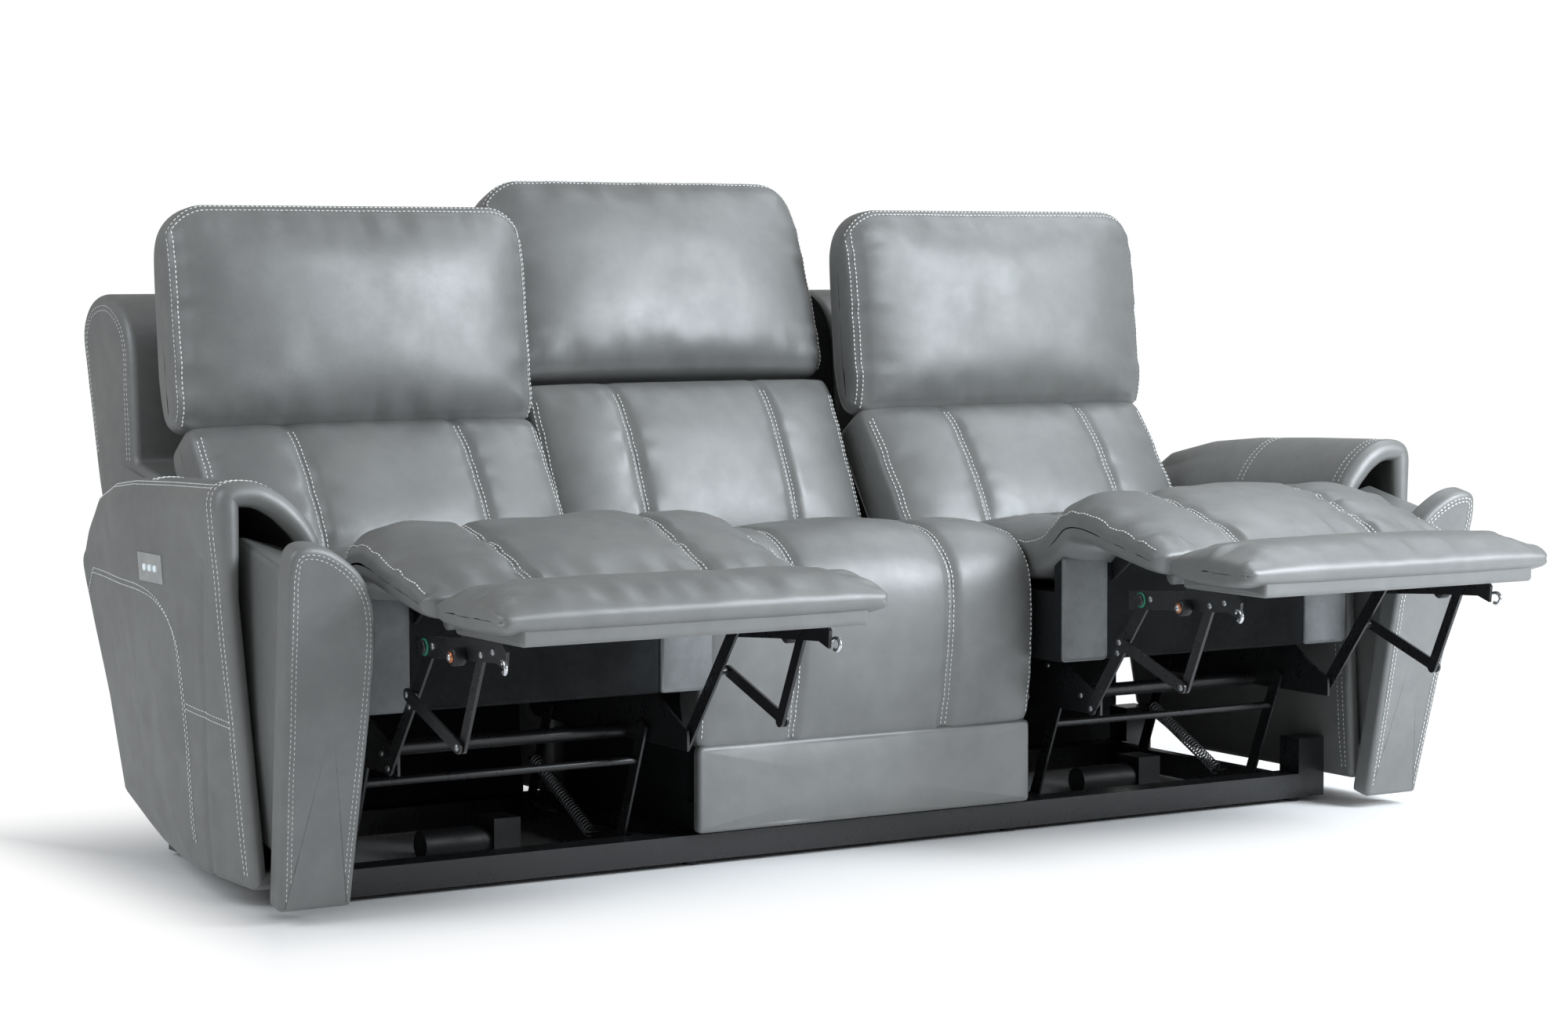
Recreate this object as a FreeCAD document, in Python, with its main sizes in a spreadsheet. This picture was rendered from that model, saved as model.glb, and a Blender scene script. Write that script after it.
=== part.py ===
import FreeCAD, Part
import math
import os
import re

# Three-seat power reclining sofa, shown opened: both outer seats carry a raised footrest and a
# reclined back, the middle seat is fixed, and the padded front of each arm is tilted out.
# X runs along the sofa, -Y is its front, Z is up. Lengths are millimetres, angles degrees.

V = FreeCAD.Vector
doc = FreeCAD.newDocument("ReclinerSofa")
sheet = doc.addObject("Spreadsheet::Sheet", "Sizes")

# Driving dimensions
SIZES = {
    "seat_pitch": 612, "cushion_width": 598, "frame_width": 580,
    "foot_height": 8, "foot_radius": 12, "rail_height": 40, "rail_depth": 50,
    "front_rail_y": 122, "rear_rail_y": 600, "side_rail_offset": 243, "side_rail_wide": 22,
    "cross_bar_y": 290, "cross_bar_thick": 6, "arm_bracket_height": 60, "arm_bracket_wide": 55,
    "seat_box_front": 40, "seat_box_back": 475, "seat_box_bottom": 280, "seat_box_top": 390,
    "front_board_top": 440, "board_thick": 18, "deck_thick": 12,
    "seat_front": 64, "seat_back": 420, "seat_thick": 70, "seat_crown": 16,
    "plate_offset": 234, "plate_thick": 4, "plate_bottom": 195, "plate_front": 8,
    "recline_y": 500, "recline_z": 380, "pin_radius": 5, "running_gap": 0.3,
    "tube_y": 205, "tube_z": 205, "tube_radius": 11,
    "footrest_y": -15, "footrest_z": 450, "footrest_slope": 12, "hinge_offset": 200,
    "footrest_length": 240, "footrest_thick": 40, "footrest_crown": 14,
    "footrest_front_y": -215, "footrest_front_z": 437.5, "board_half": 225, "footrest_board": 12,
    "extension_front": -430, "extension_length": 194, "extension_bottom": 423, "extension_board": 22,
    "extension_thick": 30, "extension_crown": 14, "extension_half": 276,
    "extension_y": -222, "extension_z": 428,
    "bracket_offset": 249.5, "link_offset": 241, "link_thick": 4, "link_width": 22,
    "link_top_y": -117, "link_top_z": 390, "link_low_y": 25, "link_low_z": 205,
    "stay_offset": 257, "stay_low_y": -225, "stay_low_z": 265, "stay_end_y": -70, "stay_end_z": 320,
    "swing_offset": 225.5, "swing_low_z": 36, "swing_high_z": 216, "swing_front_y": 130, "swing_rear_y": 430,
    
    "lumbar_length": 260, "lumbar_thick": 118, "lumbar_crown": 16, "lumbar_lean": 35,
    "lumbar_y": 537, "lumbar_z": 369,
    "head_length": 345, "head_thick": 110, "head_crown": 22, "head_lean": 7, "head_y": 706, "head_z": 643,
    "shell_out": 318, "shell_in": 300, 
    "mid_half": 298, "mid_seat_front": 95, "mid_seat_top": 486, "mid_seat_bottom": 178, "mid_seat_back": 520,
    "mid_lumbar_lean": 25, "mid_lumbar_length": 298, "mid_lumbar_y": 650, "mid_lumbar_z": 360,
    "mid_lumbar_thick": 130, "mid_head_lean": 21, "mid_head_y": 800, "mid_head_z": 658, "mid_head_length": 345,
    "mid_head_thick": 140, "mid_box_front": 165, "mid_box_top": 390, "mid_box_back": 560, "skirt_front": 103, "skirt_top": 170,
    "skirt_bottom": 52, "skirt_thick": 18, "skirt_half": 306,
    "arm_inner": 922, "arm_setback": 13, "arm_foot": 127, "arm_wide": 163, "arm_bottom": 45, "arm_top": 612,
    "arm_front": 38, "arm_depth": 722, "arm_toe": 45, "arm_lean": 3.4, "arm_wall": 17, "cavity_depth": 400,
    "panel_foot": 108, "panel_bottom": 25, "panel_top": 545, "panel_thick": 42, "panel_tilt": 16,
    "panel_pin_y": 26, "panel_pin_z": 38,
    "bin_inner": 44, "bin_outer": 110, "bin_bottom": 250, "bin_top": 455, "bin_back": 300, "bin_wall": 3,
    "cup_radius": 27, "cup_depth": 60,
    "control_y": 345, "control_z": 474, "control_length": 90, "control_height": 42, "control_thick": 8,
    "button_radius": 5, "button_height": 4, "button_pitch": 20, "button_proud": 1.8,
    "spring_radius": 9, "spring_wire": 1.3, "spring_turns": 30, "spring_side": 212,
    "spring_low_y": 272, "spring_low_z": 42, "spring_high_y": 452, "spring_high_z": 132, "peg_radius": 3, "peg_reach": 3.3,
    "motor_radius": 23, "motor_length": 110, "gearbox_size": 58,
}
for row, (name, size) in enumerate(SIZES.items(), start=1):
    sheet.set(f"A{row}", name)
    sheet.set(f"B{row}", str(size))
    sheet.setAlias(f"B{row}", name)
shift_row = len(SIZES) + 1
sheet.set(f"A{shift_row}", "frame_shift")
sheet.set(f"B{shift_row}", "0")
sheet.setAlias(f"B{shift_row}", "frame_shift")
doc.recompute()
parts = []


def size(name):
    """Value of one driving dimension, read from the sheet."""
    return float(sheet.get(name))


def bound(text):
    """Expression text in which every name of the sheet is addressed through the sheet."""
    return re.sub(r"[a-z][a-z_]+", lambda word: "Sizes." + word.group(0), str(text))


def sub_part(name, pieces):
    """One named node: its pieces stay separate solids and share the shift to the frame's origin."""
    node = doc.addObject("Part::Compound", name)
    node.Label = name
    node.Links = pieces
    node.setExpression("Placement.Base.y", "Sizes.frame_shift")
    parts.append(node)
    return node


def span(side, low, high):
    """The stretch low to high on the right side, mirrored for the left."""
    return (low, high) if side > 0 else (f"-({high})", f"-({low})")


def box(name, x, y, z):
    """Block between expressions, each axis given as (low, high)."""
    block = doc.addObject("Part::Box", name)
    for prop, axis, (low, high) in zip(("Length", "Width", "Height"), "xyz", (x, y, z)):
        block.setExpression(prop, f"({bound(high)}) - ({bound(low)})")
        block.setExpression(f"Placement.Base.{axis}", bound(low))
    return block


def rod(name, radius, x, y, z):
    """Cylinder along X from x[0] to x[1]."""
    bar = doc.addObject("Part::Cylinder", name)
    bar.Placement = FreeCAD.Placement(V(0, 0, 0), FreeCAD.Rotation(V(0, 1, 0), 90))
    bar.setExpression("Radius", bound(radius))
    bar.setExpression("Height", f"({bound(x[1])}) - ({bound(x[0])})")
    for axis, value in zip("xyz", (x[0], y, z)):
        bar.setExpression(f"Placement.Base.{axis}", bound(value))
    return bar


def post(name, radius, x, y, z):
    """Cylinder along Z from z[0] to z[1]."""
    leg = doc.addObject("Part::Cylinder", name)
    leg.setExpression("Radius", bound(radius))
    leg.setExpression("Height", f"({bound(z[1])}) - ({bound(z[0])})")
    for axis, value in zip("xyz", (x, y, z[0])):
        leg.setExpression(f"Placement.Base.{axis}", bound(value))
    return leg


def cut(name, base, tools):
    """The base with every tool taken away."""
    for index, tool in enumerate(tools):
        remainder = doc.addObject("Part::Cut", f"{name}_{index}")
        remainder.Base, remainder.Tool = base, tool
        base = remainder
    return base


def fuse(name, pieces):
    """The pieces joined into one solid."""
    union = doc.addObject("Part::MultiFuse", name)
    union.Shapes = pieces
    return union


def solid(name, shape):
    """A solid that has no feature of its own kind."""
    feature = doc.addObject("Part::Feature", name)
    feature.Shape = shape
    return feature


def plate(name, outline, thick, middle):
    """Flat plate in the YZ plane: a sketch of straight lines padded about its middle."""
    body = doc.addObject("PartDesign::Body", name)
    sketch = body.newObject("Sketcher::SketchObject", name + "_outline")
    plane = next(item for item in body.Origin.OriginFeatures if item.Role == "YZ_Plane")
    sketch.AttachmentSupport = [(plane, "")]
    sketch.MapMode = "FlatFace"
    for start, end in zip(outline, outline[1:] + outline[:1]):
        sketch.addGeometry(Part.LineSegment(V(start[0], start[1], 0), V(end[0], end[1], 0)), False)
    pad = body.newObject("PartDesign::Pad", name + "_pad")
    pad.Profile = sketch
    pad.Midplane = True
    pad.setExpression("Length", bound(thick))
    body.setExpression("Placement.Base.x", bound(middle))
    return body


def link(name, start, end, width, thick, middle):
    """Steel link: a plate with rounded ends between two pivots."""
    body = doc.addObject("PartDesign::Body", name)
    sketch = body.newObject("Sketcher::SketchObject", name + "_outline")
    plane = next(item for item in body.Origin.OriginFeatures if item.Role == "YZ_Plane")
    sketch.AttachmentSupport = [(plane, "")]
    sketch.MapMode = "FlatFace"
    first, last = V(start[0], start[1], 0), V(end[0], end[1], 0)
    along = (last - first).normalize()
    side = V(-along.y, along.x, 0) * (width / 2)
    reach = along * (width / 2)
    sketch.addGeometry(Part.LineSegment(first + side, last + side), False)
    sketch.addGeometry(Part.Arc(last + side, last + reach, last - side), False)
    sketch.addGeometry(Part.LineSegment(last - side, first - side), False)
    sketch.addGeometry(Part.Arc(first - side, first - reach, first + side), False)
    pad = body.newObject("PartDesign::Pad", name + "_pad")
    pad.Profile = sketch
    pad.Midplane = True
    pad.setExpression("Length", bound(thick))
    body.setExpression("Placement.Base.x", bound(middle))
    return body


def chain(points, curved):
    """Closed wire through points; curved maps an edge's index to a point that its arc passes."""
    edges = []
    for index, start in enumerate(points):
        end = points[(index + 1) % len(points)]
        if index in curved:
            edges.append(Part.Arc(start, curved[index], end).toShape())
        else:
            edges.append(Part.LineSegment(start, end).toShape())
    return Part.Wire(edges)


def swell(across):
    """Share of the full crown at a place across the width, with two sewn channels at a quarter each."""
    return (1 - across ** 4) * (1 - CHANNEL_DIP * math.exp(-((abs(across) - CHANNEL_AT) / CHANNEL_WIDE) ** 2))


# A cushion's sections stand at these shares of its half width; its ends are drawn in and its two
# sewn channels sit a little under halfway out.
STATIONS = (-1, -0.94, -0.75, -0.47, -0.22, 0, 0.22, 0.47, 0.75, 0.94, 1)
CHANNEL_AT = 0.47
CHANNEL_WIDE = 0.07
CHANNEL_DIP = 0.5
END_DRAW = 9
CORNER = 16


def cushion(name, middle, half, origin, angle, length, thick, crown, channels=True):
    """Crowned cushion: sections of lines and arcs lofted across its width.

    origin is the back lower corner of the profile, angle the direction of its length.
    """
    along = V(0, math.cos(math.radians(angle)), math.sin(math.radians(angle)))
    out = V(0, -along.z, along.y)
    corner = min(CORNER, 0.3 * thick)
    wires = []
    for share in STATIONS:
        draw = min(END_DRAW, 0.2 * thick) * abs(share) ** 6
        rise = crown * (swell(share) if channels else 1 - share ** 4) + 1
        base = V(middle + half * share, origin[0], origin[1])
        low, top, far = draw / 2, thick - draw, length - draw

        def at(a, b):
            """Point of the section, a along the cushion and b out of its back."""
            return base + along * a + out * b

        bend = corner * (1 - math.sqrt(0.5))
        points = [at(draw + corner, low), at(far - corner, low), at(far, low + corner), at(far, top - corner),
                  at(far - corner, top), at(draw + corner, top), at(draw, top - corner), at(draw, low + corner)]
        curved = {1: at(far - bend, low + bend), 3: at(far - bend, top - bend),
                  4: at(length / 2, top + rise), 5: at(draw + bend, top - bend), 7: at(draw + bend, low + bend)}
        wires.append(chain(points, curved))
    return solid(name, Part.makeLoft(wires, True, False))


def seat_profile(x, draw):
    """Section of the middle seat: a flat cushion whose front rolls down into an apron."""
    front, top, back = size("mid_seat_front"), size("mid_seat_top"), size("mid_seat_back")
    inner_y, inner_z, low = size("mid_box_front") - 0.3, size("mid_box_top") + 0.3, size("mid_seat_bottom")
    top, front = top - draw, front + draw
    points = [V(x, inner_y, low + 8), V(x, inner_y, inner_z), V(x, back, inner_z), V(x, back, top - CORNER),
              V(x, back - CORNER, top), V(x, front + 85, top), V(x, front, top - 92), V(x, front + 8, low + 12),
              V(x, front + 22, low)]
    curved = {3: V(x, back - 5, top - 5), 4: V(x, (front + 85 + back) / 2, top + 10 - draw),
              5: V(x, front + 24, top - 25), 6: V(x, front - 7, (top + low) / 2 - 30), 7: V(x, front + 12, low + 3)}
    return chain(points, curved)


def arm_section(y, top, toe, inset):
    """Cross-section of the right arm at a depth y: upright inner side, roll over the top, flared side."""
    inner = size("arm_inner") + size("arm_setback") + inset
    outer = size("arm_inner") + size("arm_wide") - toe - inset
    foot = size("arm_inner") + size("arm_foot") - toe - inset
    low, high = size("arm_bottom") + inset, top - inset
    points = [V(inner, y, low), V(foot, y, low), V(outer, y, high - 30), V(outer - 26, y, high),
              V(inner + 6, y, high - 92), V(inner, y, high - 112)]
    curved = {2: V(outer - 6, y, high - 8), 3: V(inner + 42, y, high - 26)}
    return chain(points, curved)


# Drop of the arm's top, and share of its toe-in, at shares of its depth
ARM_STATIONS = ((0, 0, 0), (0.28, 12, 0), (0.5, 24, 0.08), (0.66, 42, 0.3), (0.82, 76, 0.62), (1, 128, 1))
ARM_START = 12


def arm_form(y):
    """Height of the arm's top and its toe-in at a depth y."""
    share = (y - size("arm_front") + ARM_START) / (size("arm_depth") + ARM_START)
    for (low, drop, toe), (high, next_drop, next_toe) in zip(ARM_STATIONS, ARM_STATIONS[1:]):
        if share <= high:
            part = (share - low) / (high - low)
            return (size("arm_top") - drop - part * (next_drop - drop),
                    size("arm_toe") * (toe + part * (next_toe - toe)))
    return size("arm_top") - ARM_STATIONS[-1][1], size("arm_toe")


def arm_loft(depths, inset):
    """The arm's body through sections at the given depths, its faces moved in by inset."""
    return Part.makeLoft([arm_section(y, *arm_form(y), inset) for y in depths], True, False)


def mirrored(shape, side):
    """The shape on its own side; the right one is drawn, the left one mirrored."""
    return shape if side > 0 else shape.mirror(V(0, 0, 0), V(1, 0, 0))


def turned(shape, side):
    """A closed arm front laid into its tilted pose about its pin."""
    shape = shape.copy()
    shape.rotate(V(0, size("panel_pin_y"), size("panel_pin_z")), V(1, 0, 0), size("panel_tilt"))
    return mirrored(shape, side)


def prism(points, x_low, x_high):
    """Outline in the YZ plane carried from x_low to x_high."""
    wire = Part.makePolygon([V(x_low, y, z) for y, z in points + points[:1]])
    return Part.Face(wire).extrude(V(x_high - x_low, 0, 0))


def helix_tube(start, end, radius, wire_radius, turns):
    """Coil spring: one tube on arcs of a quarter turn, its ends straight along the coil's radius."""
    axis = (end - start)
    step = axis / (turns * 4)
    direction = V(axis).normalize()
    side = direction.cross(V(1, 0, 0)).normalize()
    other = direction.cross(side)

    def at(quarter):
        """Point of the coil after a number of quarter turns."""
        turn = quarter * math.pi / 2
        return start + step * quarter + side * (radius * math.cos(turn)) + other * (radius * math.sin(turn))

    edges = [Part.Arc(at(q), at(q + 0.5), at(q + 1)).toShape() for q in range(turns * 4)]
    lead = edges[0].tangentAt(edges[0].FirstParameter)
    tail = edges[-1].tangentAt(edges[-1].LastParameter)
    first, last = at(0), at(turns * 4)
    edges.insert(0, Part.LineSegment(first - lead * (2 * wire_radius), first).toShape())
    edges.append(Part.LineSegment(last, last + tail * (2 * wire_radius)).toShape())
    path = Part.Wire(edges)
    begin = first - lead * (2 * wire_radius)
    ring = Part.Wire([Part.makeCircle(wire_radius, begin, lead)])
    tube = path.makePipeShell([ring], True, False)
    gap = axis.Length / turns - 2 * wire_radius
    print("spring: least gap between turns", round(gap, 2), "mm, volume ratio",
          round(tube.Volume / (math.pi * wire_radius ** 2 * path.Length), 4))
    return tube


# Base of steel rails on levelling feet, carrying all three seats and both arms
RAIL_END = "arm_inner + arm_setback"
box("front_rail", (f"-({RAIL_END})", RAIL_END), ("front_rail_y", "front_rail_y + rail_depth"),
    ("foot_height", "foot_height + rail_height"))
sub_part("base_front_rail", [doc.front_rail])

members = [box("rear_rail", (f"-({RAIL_END})", RAIL_END), ("rear_rail_y", "rear_rail_y + rail_depth"),
               ("foot_height", "foot_height + rail_height"))]
rail_span = ("front_rail_y + rail_depth", "rear_rail_y")
for seat in (-1, 0, 1):
    for edge in (-1, 1):
        middle = f"{seat} * seat_pitch + {edge} * side_rail_offset"
        members.append(box(f"side_rail_{seat + 1}_{edge + 1}",
                           (f"{middle} - side_rail_wide / 2", f"{middle} + side_rail_wide / 2"), rail_span,
                           ("foot_height", "foot_height + rail_height")))
for side in (-1, 1):
    for label, low in (("front", "front_rail_y"), ("rear", "rear_rail_y")):
        members.append(box(f"arm_bracket_{label}_{side + 1}",
                           span(side, f"{RAIL_END} - arm_bracket_wide", RAIL_END),
                           (low, f"{low} + rail_depth"),
                           ("foot_height + rail_height", "foot_height + rail_height + arm_bracket_height")))
    inside = "side_rail_offset - side_rail_wide / 2"
    members.append(box(f"cross_bar_{side + 1}",
                       (f"{side} * seat_pitch - ({inside})", f"{side} * seat_pitch + {inside}"),
                       ("cross_bar_y", "cross_bar_y + rail_depth"),
                       ("foot_height", "foot_height + cross_bar_thick")))
for side in (-1, 1):
    at = f"{side} * seat_pitch + spring_side"
    members.append(rod(f"low_peg_{side + 1}", "peg_radius",
                       (f"{at} - spring_radius", f"{side} * seat_pitch + {inside}"),
                       "spring_low_y - peg_reach * 0.894", "spring_low_z - peg_reach * 0.447"))
sub_part("base_frame", members)

feet = []
for row, y in enumerate(("front_rail_y + rail_depth / 2", "rear_rail_y + rail_depth / 2")):
    for column in (-3, -1, 1, 3):
        feet.append(post(f"foot_{row}_{column + 3}", "foot_radius",
                         f"{column} * ({RAIL_END} - rail_depth) / 3", y, ("0", "foot_height")))
sub_part("base_feet", feet)


def curved_block(name, points, curved, x_low, x_high):
    """Block with a profile of lines and arcs in the YZ plane."""
    wire = chain([V(x_low, y, z) for y, z in points], {edge: V(x_low, *via) for edge, via in curved.items()})
    return solid(name, Part.Face(wire).extrude(V(x_high - x_low, 0, 0)))


def upholstered_box(name, middle, half, y, z, front_top):
    """Open frame of boards under a deck; the front board may stand higher."""
    low, high = f"{middle} - {half}", f"{middle} + {half}"
    inside = (f"{low} + board_thick", f"{high} - board_thick")
    return [
        box(name + "_front", (low, high), (y[0], f"{y[0]} + board_thick"), (z[0], front_top)),
        box(name + "_back", (low, high), (f"{y[1]} - board_thick", y[1]), z),
        box(name + "_left", (low, inside[0]), (f"{y[0]} + board_thick", f"{y[1]} - board_thick"), z),
        box(name + "_right", (inside[1], high), (f"{y[0]} + board_thick", f"{y[1]} - board_thick"), z),
        box(name + "_deck", inside, (f"{y[0]} + board_thick", f"{y[1]} - board_thick"),
            (f"{z[1]} - deck_thick", z[1])),
    ]


# Fixed middle seat
GAP = size("running_gap")
boards = upholstered_box("mid_box", "0", "frame_width / 2", ("mid_box_front", "mid_box_back"),
                         ("foot_height + rail_height", "mid_box_top"), "mid_box_top")
boards.append(box("skirt_cleat", ("-frame_width / 2", "frame_width / 2"),
                  ("skirt_front + skirt_thick", "mid_box_front"), ("skirt_bottom", "skirt_bottom + rail_height")))
sub_part("middle_seat_box", boards)
box("skirt", ("-skirt_half", "skirt_half"), ("skirt_front", "skirt_front + skirt_thick"),
    ("skirt_bottom", "skirt_top"))
sub_part("middle_skirt", [doc.skirt])

sections = []
for share in STATIONS:
    dip = 1 - swell(share) if abs(share) < 0.9 else END_DRAW * abs(share) ** 6
    sections.append(seat_profile(size("mid_half") * share, dip))
sub_part("middle_seat_cushion", [solid("mid_seat", Part.makeLoft(sections, True, False))])

shell_points = [(600, 48), (600, 330), (650, 359.6), (777, 632), (799, 657.6), (892, 880), (1000, 885),
                (1018, 860), (905, 150), (880, 48)]
sub_part("middle_back_shell", [curved_block("mid_shell", shell_points, {5: (950, 911)},
                                            -size("mid_half"), size("mid_half"))])
for label in ("lumbar", "head"):
    pad = cushion(f"mid_{label}", 0, size("mid_half"),
                  (size(f"mid_{label}_y") - GAP, size(f"mid_{label}_z") + GAP),
                  90 - size(f"mid_{label}_lean"), size(f"mid_{label}_length"), size(f"mid_{label}_thick"),
                  size(f"{label}_crown"))
    sub_part(f"middle_{label}_cushion", [pad])

# Arms: a roll-edged hollow body, a front that tilts out on a pin, a bin and cup holder behind it,
# and a plate with three buttons on the outer side
SIDES = ((-1, "left"), (1, "right"))
BUTTONS = ("open", "close", "headrest")
FAR = 400
plates, pins = [], []
front_line = math.tan(math.radians(size("arm_lean")))
flare_top, flare_toe = arm_form(size("control_y"))
flare_high = flare_top - 30 - size("arm_bottom")
flare = math.degrees(math.atan((size("arm_wide") - size("arm_foot")) / flare_high))
face_x = (size("arm_inner") + size("arm_foot") - flare_toe
          + math.tan(math.radians(flare)) * (size("control_z") - size("arm_bottom")))
plate_spot = FreeCAD.Placement(V(face_x, size("control_y"), size("control_z")),
                               FreeCAD.Rotation(V(0, 1, 0), flare))


def on_plate(shape):
    """A shape drawn with +X out of the control plate, laid on the right arm's flared side."""
    shape = shape.copy()
    shape.Placement = plate_spot.multiply(shape.Placement)
    return shape


def leaned(shape):
    """A shape of the arm's front drawn upright, leaned back with the arm's front edge."""
    shape = shape.copy()
    shape.rotate(V(0, size("arm_front"), size("arm_bottom")), V(1, 0, 0), -size("arm_lean"))
    return shape


for side, word in SIDES:
    inner, start = size("arm_inner"), size("arm_front")
    depth, low, top = size("arm_depth"), size("arm_bottom"), size("arm_top")
    depths = [start - ARM_START + share * (depth + ARM_START) for share, _, _ in ARM_STATIONS]
    body = arm_loft(depths, 0)
    edge_top = start + (top + 60 - low) * front_line
    body = body.cut(prism([(start, low), (edge_top, top + 60), (-60, top + 60), (-60, 0), (start, 0)],
                          inner - 20, inner + FAR))
    rear = [(494, low - 20), (494, low + 5), (660, 109), (690, 250), (745, 491), (760, 700), (900, 700),
            (900, low - 20)]
    body = body.cut(prism(rear, inner - 20, inner + FAR))
    reach = start + size("cavity_depth")
    hollow = arm_loft([start - ARM_START, start + 150, start + 280, reach], size("arm_wall"))
    body = body.cut(hollow)
    thick, proud = size("control_thick"), size("button_proud")
    blank = Part.makeBox(thick, size("control_length"), size("control_height"),
                         V(proud - thick, -size("control_length") / 2, -size("control_height") / 2))
    body = body.cut(on_plate(blank))
    sub_part(f"arm_shell_{word}", [solid(f"shell_{word}", mirrored(body, side))])

    radius, pitch = size("button_radius"), size("button_pitch")
    face = blank
    for index, label in enumerate(BUTTONS):
        place = V(proud - size("button_height") - 2, (index - 1) * pitch, 0)
        face = face.cut(Part.makeCylinder(radius + GAP, thick, place, V(1, 0, 0)))
        place = V(2 * proud - size("button_height"), (index - 1) * pitch, 0)
        key = Part.makeCylinder(radius, size("button_height"), place, V(1, 0, 0))
        sub_part(f"button_{word}_{label}", [solid(f"key_{word}_{label}", mirrored(on_plate(key), side))])
    plates.append(solid(f"plate_{word}", mirrored(on_plate(face), side)))

    pin_y, pin_z, pin = size("panel_pin_y"), size("panel_pin_z"), size("pin_radius")
    back, foot, lip = start - GAP, size("panel_foot"), size("panel_top")
    front = back - size("panel_thick")
    outline = chain([V(inner, front, size("panel_bottom")), V(inner, front, lip - 115), V(inner + 85, front, lip - 5),
                     V(inner + foot - 5, front, lip - 5), V(inner + foot, front, lip - 25),
                     V(inner + foot, front, size("panel_bottom"))], {1: V(inner + 30, front, lip - 40)})
    panel = leaned(Part.Face(outline).extrude(V(0, size("panel_thick"), 0)))
    panel = panel.cut(Part.makeCylinder(pin + GAP, foot - 24, V(inner + 12, pin_y, pin_z), V(1, 0, 0)))
    panel = panel.cut(Part.makeBox(26, 60, 44, V(inner + 47, pin_y - 14, pin_z - 26)))
    sub_part(f"arm_front_{word}", [solid(f"panel_{word}", turned(panel, side))])

    wall, deck = size("bin_wall"), size("bin_top")
    width, length = size("bin_outer") - size("bin_inner"), size("bin_back") - back
    tall = deck - size("bin_bottom")
    corner = V(inner + size("bin_inner"), back, size("bin_bottom"))
    trough = Part.makeBox(width, length, tall, corner)
    trough = trough.cut(Part.makeBox(width - 2 * wall, length - 2 * wall, tall, corner + V(wall, wall, wall)))
    cup_at = corner + V(width / 2, size("cup_radius") + 14, tall)
    cup_radius, cup_depth = size("cup_radius"), size("cup_depth")
    shelf = Part.makeBox(width - 2 * wall, 2 * cup_radius + 24, wall, corner + V(wall, wall, tall - wall))
    cup = Part.makeCylinder(cup_radius + wall, cup_depth, cup_at - V(0, 0, cup_depth))
    well = Part.makeCylinder(cup_radius, cup_depth, cup_at - V(0, 0, cup_depth - wall))
    trough = trough.fuse(shelf.fuse(cup)).cut(well)
    sub_part(f"arm_bin_{word}", [solid(f"bin_{word}", turned(leaned(trough), side))])

    rod_shape = Part.makeCylinder(pin, foot - 30, V(inner + 15, pin_y, pin_z), V(1, 0, 0))
    strap = Part.makeBox(20, 64, 5, V(inner + 50, pin_y, low - 5))
    pins.append(solid(f"pin_{word}", mirrored(rod_shape.fuse(strap), side)))
sub_part("control_plates", plates)
sub_part("arm_hinge_pins", pins)


def pair(name, side, offset, builder, **given):
    """The same plate or link on both sides of a recliner's centre line."""
    centre = f"{side} * seat_pitch"
    return [builder(f"{name}_{edge + 1}", middle=f"{centre} + {edge} * {offset}", **given) for edge in (-1, 1)]


def bosses(name, side, low, high, y, z):
    """Pivot bosses on both sides between two distances from the recliner's centre line."""
    centre = f"{side} * seat_pitch"
    made = []
    for edge in (-1, 1):
        stretch = span(edge, low, high)
        made.append(rod(f"{name}_{edge + 1}", "pin_radius",
                        (f"{centre} + {stretch[0]}", f"{centre} + {stretch[1]}"), y, z))
    return made


def joined(name, left_right):
    """Each side's pieces joined into one solid."""
    return [fuse(f"{name}_{index}", list(pieces)) for index, pieces in enumerate(zip(*left_right))]


def swing(name, side, high_y):
    """Two upright links, a tie tube near their tops and bosses at their four pivots."""
    low = (high_y + SWING_LEAN, size("swing_low_z"))
    high = (high_y, size("swing_high_z"))
    half = "link_thick / 2"
    links = pair(name + "_link", side, "swing_offset", link, start=low, end=high, width=size("link_width"),
                 thick="link_thick")
    feet = bosses(name + "_foot", side, f"swing_offset + {half}", f"{RAIL_INSIDE} - running_gap", low[0], low[1])
    heads = bosses(name + "_head", side, f"swing_offset + {half}",
                   f"plate_offset - plate_thick / 2 - running_gap", high[0], high[1])
    middle = [low[axis] + TIE_AT * (high[axis] - low[axis]) for axis in (0, 1)]
    centre = f"{side} * seat_pitch"
    inside = f"(swing_offset - {half})"
    tie = rod(name + "_tie", "pin_radius + 1", (f"{centre} - {inside}", f"{centre} + {inside}"), *middle)
    return joined(name + "_whole", (links, feet, heads)) + [tie]


# Recliners: a carriage of seat and side plates slides on swing links, the back and the headrest
# turn on it, and the footrest unfolds with its second panel and their links.
SWING_LEAN = 72.5
TIE_AT = 0.72
RAIL_INSIDE = "side_rail_offset - side_rail_wide / 2"
GRIP = 6
plate_low, plate_fore = size("plate_bottom"), size("plate_front")
box_low, pivot_y, pivot_z = size("seat_box_bottom"), size("recline_y"), size("recline_z")
carriage_outline = [(plate_fore, plate_low), (plate_fore, plate_low + 30), (60, 250), (110, box_low),
                    (478, box_low), (478, pivot_z + 10), (pivot_y - 8, pivot_z + 12),
                    (pivot_y + 6, pivot_z + 6), (pivot_y + 14, pivot_z - 8), (508, 205), (490, plate_low)]
foot_y, foot_z = size("footrest_y"), size("footrest_z")
arm_outline = [(40, 402), (40, 436), (foot_y + 10, foot_z + 9), (foot_y - 9, foot_z + 9),
               (foot_y - 11, foot_z - 7), (foot_y + 4, foot_z - 12)]
slope = math.radians(size("footrest_slope"))
front_y, front_z = size("footrest_front_y"), size("footrest_front_z")


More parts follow.
